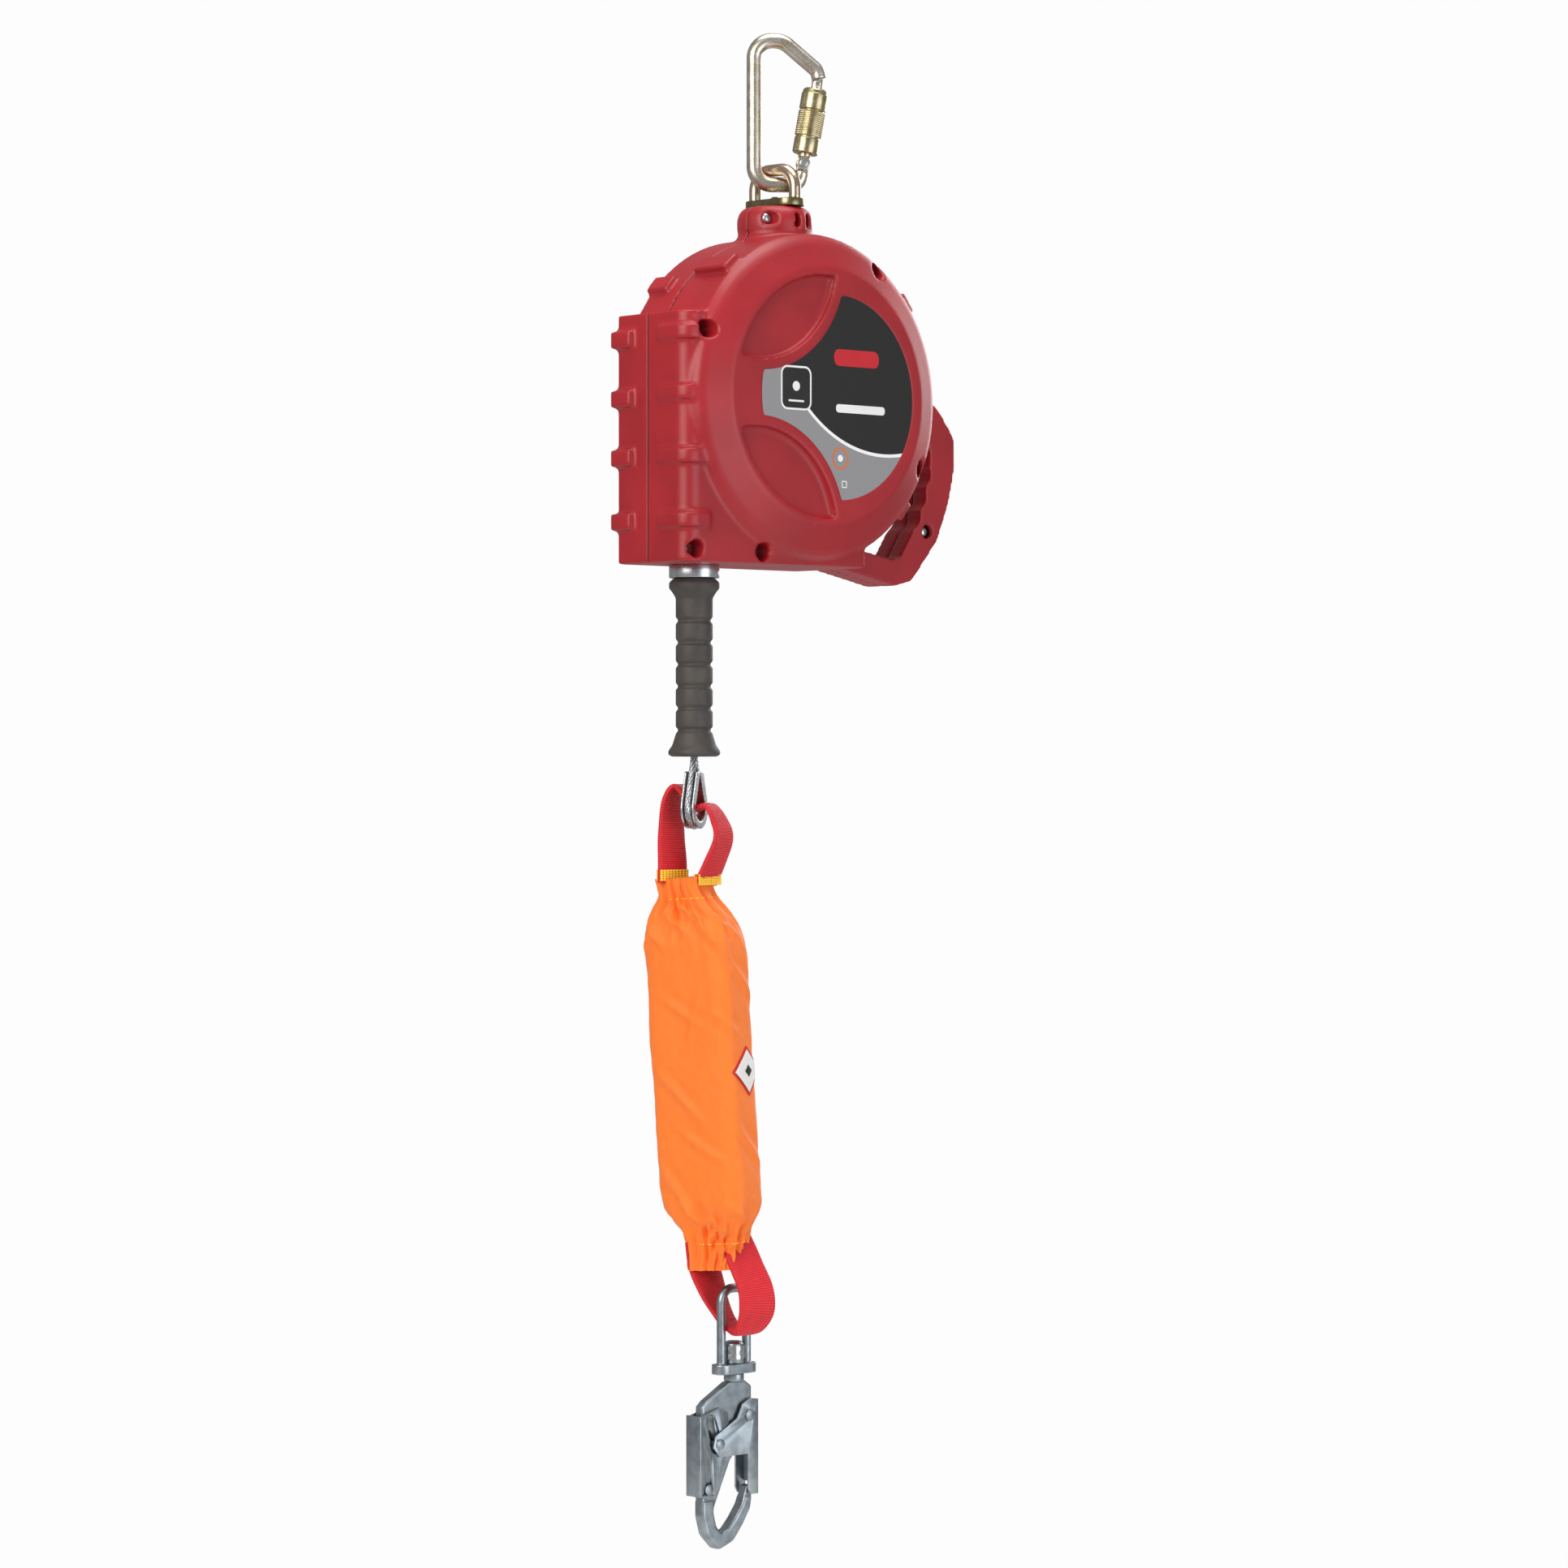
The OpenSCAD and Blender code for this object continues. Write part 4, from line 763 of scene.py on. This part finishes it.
# a smooth curve through rows of values, at row number t
def curveThrough(rows, t):
    i = min(int(t), len(rows) - 2)
    f = t - i
    before, after = rows[max(i - 1, 0)], rows[min(i + 2, len(rows) - 1)]
    out = []
    for a, b, c, d in zip(before, rows[i], rows[i + 1], after):
        out.append(0.5 * (2 * b + (c - a) * f + (2 * a - 5 * b + 4 * c - d) * f * f
                          + (3 * b - a - 3 * c + d) * f ** 3))
    return out


def chainPoint(along, deep, up):
    return loopCentre + (chainAlong * along + chainDeep * deep + Vector((0, 0, up))) * mm


def chainWay(degrees):
    return chainAlong * math.cos(math.radians(degrees)) + chainDeep * math.sin(math.radians(degrees))


# a flat strap with rounded edges, its weft ribs as real relief, four rings to a rib
def webbing(name, route, thick, replaces):
    w = webbingValues
    dense = [curveThrough(route, k / 40) for k in range(40 * (len(route) - 1) + 1)]
    spots = [chainPoint(*row[:3]) for row in dense]
    rings, wanted, travelled = [], 0, 0
    for i in range(len(dense) - 1):
        travelled += (spots[i] - spots[i - 1]).length / mm if i else 0
        if travelled < wanted and i:
            continue
        wanted += w["rib"] / 4
        along = (spots[i + 1] - spots[max(i - 1, 0)]).normalized()
        face = along.cross(chainWay(dense[i][4])).normalized()
        wide = face.cross(along)
        half, tall = dense[i][3] / 2, thick / 2 + w["relief"] * math.cos(2 * math.pi * travelled / w["rib"])
        cup = w["cupped"] * half * noise.noise(spots[i] * 40)
        ring = []
        for k in range(28):
            a = 2 * math.pi * k / 28
            x = half * math.copysign(abs(math.cos(a)) ** 0.35, math.cos(a))
            y = tall * math.copysign(abs(math.sin(a)) ** 0.45, math.sin(a))
            ring.append(spots[i] + (wide * x + face * (y + cup * (x / half) ** 2)) * mm)
        rings.append(ring)
    return addPiece(name, ringSkin(name, rings), "absorber", redWebbing, replaces)


webbing("upperWebbing", upperRoute, webbingValues["upperThick"], ["upper_loop"])
webbing("lowerWebbing", lowerRoute, webbingValues["lowerThick"], ["lower_loop"])
print("stage: rope and webbing done")


# shock pack cover

pack = {"along": 6.7, "deep": 3, "up": -190.5, "lean": -3.7, "turn": -32, "width": 71, "thick": 39,
        "corner": 0.42, "columns": 300, "rows": 220, "wall": 1.2}
# height, share of the width, share of the thickness, depth of the gathers, then sideways shift
packLevels = [
    (142, 0.5, 0.82, 1.2, -6), (135, 0.46, 0.78, 1.8, -6), (127, 0.5, 0.76, 2.6, -5),
    (118, 0.7, 0.84, 2.8, -4), (108, 0.89, 0.94, 1.5, -2), (96, 0.98, 1, 0.6, -0.5), (82, 1, 1, 0.2, 0),
    (30, 1, 1.02, 0, 0), (-40, 1, 1.02, 0, 0), (-80, 1, 1, 0.2, 0), (-92, 0.96, 1, 0.8, 0.5),
    (-101, 0.82, 0.88, 1.9, 1.5), (-109, 0.66, 0.72, 2.9, 2), (-119, 0.56, 0.62, 3.0, 2),
    (-129, 0.52, 0.58, 2.6, 0.5), (-138, 0.5, 0.56, 2.0, -1)]
chainRotation = Matrix.Rotation(chainTurn, 3, "Z")
packRotation = chainRotation @ Matrix.Rotation(math.radians(pack["lean"]), 3, "Y") \
    @ Matrix.Rotation(math.radians(pack["turn"]), 3, "Z")
packCentre = chainPoint(pack["along"], pack["deep"], pack["up"])
# where a soft fold starts and ends, as degrees round the pack and height, then its depth
folds = [
    (212, 112, 250, 92, 2.0), (236, 122, 282, 104, 2.6), (262, 128, 318, 112, 2.8), (292, 118, 338, 86, 2.2),
    (322, 122, 368, 98, 2.2), (228, 60, 300, 34, 1.3), (300, 66, 268, 20, 1.2), (312, 46, 352, 28, 1.4),
    (216, 8, 292, -34, 1.5), (246, -36, 318, -62, 1.4), (212, -58, 262, -96, 2.0), (238, -86, 286, -112, 2.8),
    (276, -98, 330, -116, 3.0), (262, -118, 322, -106, 2.6), (318, -92, 372, -110, 2.4),
    (296, -124, 352, -118, 2.4), (336, -34, 386, -66, 1.4), (340, 84, 392, 50, 1.3), (40, 100, 84, 58, 1.8),
    (92, 64, 150, 20, 1.5), (60, -8, 124, -44, 1.5), (118, -58, 176, -98, 1.8), (44, -112, 100, -100, 2.4),
    (110, 120, 168, 104, 2.4)]


# points of the pack's rounded outline at each degree of equal length, and the length of one degree
def outlineTable():
    count, spots = 2400, []
    for k in range(count + 1):
        a = 2 * math.pi * k / count
        c, s = math.cos(a), math.sin(a)
        spots.append((pack["width"] / 2 * math.copysign(abs(c) ** pack["corner"], c),
                      pack["thick"] / 2 * math.copysign(abs(s) ** pack["corner"], s)))
    lengths = [0]
    for a, b in zip(spots, spots[1:]):
        lengths.append(lengths[-1] + math.dist(a, b))
    table, k = [], 0
    for degree in range(361):
        wanted = lengths[-1] * degree / 360
        while k < count - 1 and lengths[k + 1] < wanted:
            k += 1
        share = (wanted - lengths[k]) / max(lengths[k + 1] - lengths[k], 1e-9)
        table.append(tuple(spots[k][i] + (spots[k + 1][i] - spots[k][i]) * share for i in range(2)))
    return table, lengths[-1] / 360


packOutline, perDegree = outlineTable()


# a point of the cover, by its place round the outline in degrees of equal length and its height
def packPoint(angle, height):
    rows = packLevels[::-1]
    i = max(k for k in range(len(rows) - 1) if rows[k][0] <= height + 1e-6)
    t = (height - rows[i][0]) / (rows[i + 1][0] - rows[i][0])
    _, wide, thick, gather, shift = curveThrough(rows, i + t)
    turned = angle % 360
    low, share = int(turned), turned - int(turned)
    x, y = [packOutline[low][k] * (1 - share) + packOutline[low + 1][k] * share for k in range(2)]
    x, y = x * wide, y * thick
    out = gather * (0.6 * math.sin(math.radians(angle * 13) + 2.2 * noise.noise((height / 14, 0, 0)))
                    + 0.4 * math.sin(math.radians(angle * 22) + 2 + 3 * noise.noise((height / 10, 5, 0))))
    for a0, h0, a1, h1, deep in folds:
        near = angle % 360
        if near < a0 - 90:
            near += 360
        du, dv = (a1 - a0) * perDegree, h1 - h0
        u, w = (near - a0) * perDegree, height - h0
        t = max(0, min(1, (u * du + w * dv) / (du * du + dv * dv)))
        away = math.hypot(u - t * du, w - t * dv)
        if away < 26:
            fade = math.sin(math.pi * (0.06 + 0.88 * t))
            out += deep * fade * (math.exp(-(away / 3.0) ** 2) - 0.6 * math.exp(-((away - 6) / 4) ** 2))
    spot = Vector((x / 26, y / 26, height / 40))
    out += 1.3 * noise.noise(spot) + 0.4 * noise.noise(spot * 4)
    length = math.hypot(x, y)
    return Vector((x + shift, y, height)) + Vector((x / length, y / length, 0)) * out


rings = []
lowest, highest = packLevels[-1][0], packLevels[0][0]
heights = [lowest + (highest - lowest) * k / pack["rows"] for k in range(pack["rows"] + 1)]
for h in heights:
    ring = [packPoint(360 * k / pack["columns"], h) for k in range(pack["columns"])]
    rings.append([packCentre + packRotation @ (q * mm) for q in ring])
inner = []
for ring in rings:
    centre = sum(ring, Vector()) / len(ring)
    inner.append([q + (centre - q).normalized() * pack["wall"] * mm for q in ring])
coverMesh = ringSkin("packCover", rings + inner[::-1], True)
cover = addPiece("packCover", coverMesh, "absorber", orangeCloth, ["absorber_cover"])


def onPack(angle, height, lift=0.0):
    q = packPoint(angle, height)
    return packCentre + packRotation @ ((q + Vector((q.x, q.y, 0)).normalized() * lift) * mm)


# seam stitches round the gathers, then bar tacks on the webbing
seamStitch = {"across": 0.8, "height": 0.7, "length": 3.0, "count": 40, "lift": 0.1, "levels": (127, -119)}
rows = []
for level in seamStitch["levels"]:
    axisSpot = packCentre + packRotation @ Vector((0, 0, level * mm))
    for k in range(seamStitch["count"]):
        a = 360 * k / seamStitch["count"]
        spot, after = onPack(a, level, seamStitch["lift"]), onPack(a + 2, level, seamStitch["lift"])
        rows.append((spot, (spot - axisSpot).normalized(), (after - spot).normalized()))
scatter("coverSeam", "stitch", rows, seamStitch["across"], seamStitch["height"], seamStitch["length"],
        "absorber", yellowThread)

tack = {"rows": 5, "columns": 9, "pitchAcross": 2.9, "pitchAlong": 1.6, "lift": 2.1,
        "across": 1.9, "height": 1.2, "length": 3.5}
rows = []
for along, deep, up, degrees in ((-15.5, 2.6, -47.5, 41), (9.6, -0.6, -50.5, 53)):
    wide = chainWay(degrees)
    face = Vector((0, 0, 1)).cross(wide).normalized()
    for i in range(tack["rows"]):
        for k in range(tack["columns"]):
            across = (k - (tack["columns"] - 1) / 2) * tack["pitchAcross"]
            lift = (i - (tack["rows"] - 1) / 2) * tack["pitchAlong"]
            for way in (-1, 1):
                spot = chainPoint(along, deep, up + lift) + (wide * across + face * way * tack["lift"]) * mm
                rows.append((spot, face * way, wide))
scatter("barTacks", "stitch", rows, tack["across"], tack["height"], tack["length"], "absorber", yellowThread,
        ["stitch_bands"])

patch = {"side": 25, "border": 1.8, "mark": 6, "angle": 6, "height": 2.5, "steps": 14}


# a diamond that lies on the cover, by its two edge directions
def patchSpot(x, y, lift):
    across, up = (x - y) * math.sqrt(0.5), (x + y) * math.sqrt(0.5)
    return onPack(patch["angle"] + across / perDegree, patch["height"] + up, lift)


def patchSheet(name, side, lift, thick, material, replaces=()):
    n = patch["steps"]
    rows = [side * (k / n - 0.5) for k in range(n + 1)]
    points = [patchSpot(x, y, lift + h) for h in (0, thick) for x in rows for y in rows]
    half = (n + 1) ** 2
    faces = []
    for i in range(n):
        for k in range(n):
            a = i * (n + 1) + k
            under = [a, a + 1, a + n + 2, a + n + 1]
            faces += [under, [half + q for q in reversed(under)]]
        for a, b in ((i, i + 1), (n * (n + 1) + i + 1, n * (n + 1) + i), ((i + 1) * (n + 1), i * (n + 1)),
                     (i * (n + 1) + n, (i + 1) * (n + 1) + n)):
            faces.append([b, a, half + a, half + b])
    mesh = bpy.data.meshes.new(name)
    mesh.from_pydata(points, [], faces)
    return addPiece(name, cleanMesh(mesh, 50), "absorber", material, replaces)


inside = patch["side"] - 2 * patch["border"]
patchSheet("patchBorder", patch["side"], 0.15, 0.6, plain["printRed"])
patchSheet("coverPatch", inside, 0.3, 0.7, plain["pale_film"], ["cover_patch"])
patchSheet("patchMark", patch["mark"], 0.8, 0.45, plain["printBlack"])
print("stage: shock pack done")


# snap hook

forged("hook_eye", 0.5, 4, "hook_link")
forged("hook_body", 0.6, 20, "hook")
eased("hook_swivel_stud", 0.5, "hook")
eased("hook_rivets", 0.35, "hook")
eased("hook_gate", 0.3, "hook_lever")
eased("hook_tail_pin", 0.35, "hook_lever")
lockSkin = eased("hook_lock", 0.3, "hook_thumb")
lockPivot = Vector(joints["hook_lock_press"]["pos_m"])
lockHole = {"within": 2.7, "opened": 0.15}
for vertex in lockSkin.data.vertices:  # the hole is opened a little, so that it turns freely on its rivet
    away = Vector((vertex.co.x - lockPivot.x, 0, vertex.co.z - lockPivot.z))
    if away.length < lockHole["within"] * mm:
        vertex.co += away.normalized() * lockHole["opened"] * mm
print("stage: snap hook done")


# floor

floorValues = {"below": 0.28, "radius": 1.35, "sides": 64}
floorLevel = cadBox[0].z - floorValues["below"]
floorTurns = [2 * math.pi * k / floorValues["sides"] for k in range(floorValues["sides"])]
floorMesh = bpy.data.meshes.new("floor")
floorMesh.from_pydata([(floorValues["radius"] * math.cos(a), floorValues["radius"] * math.sin(a), floorLevel)
                       for a in floorTurns], [], [list(range(floorValues["sides"]))])
floorMesh.materials.append(plain["floor"])
floor = bpy.data.objects.new("floor", floorMesh)
scene.collection.objects.link(floor)

print("stage: all pieces made")
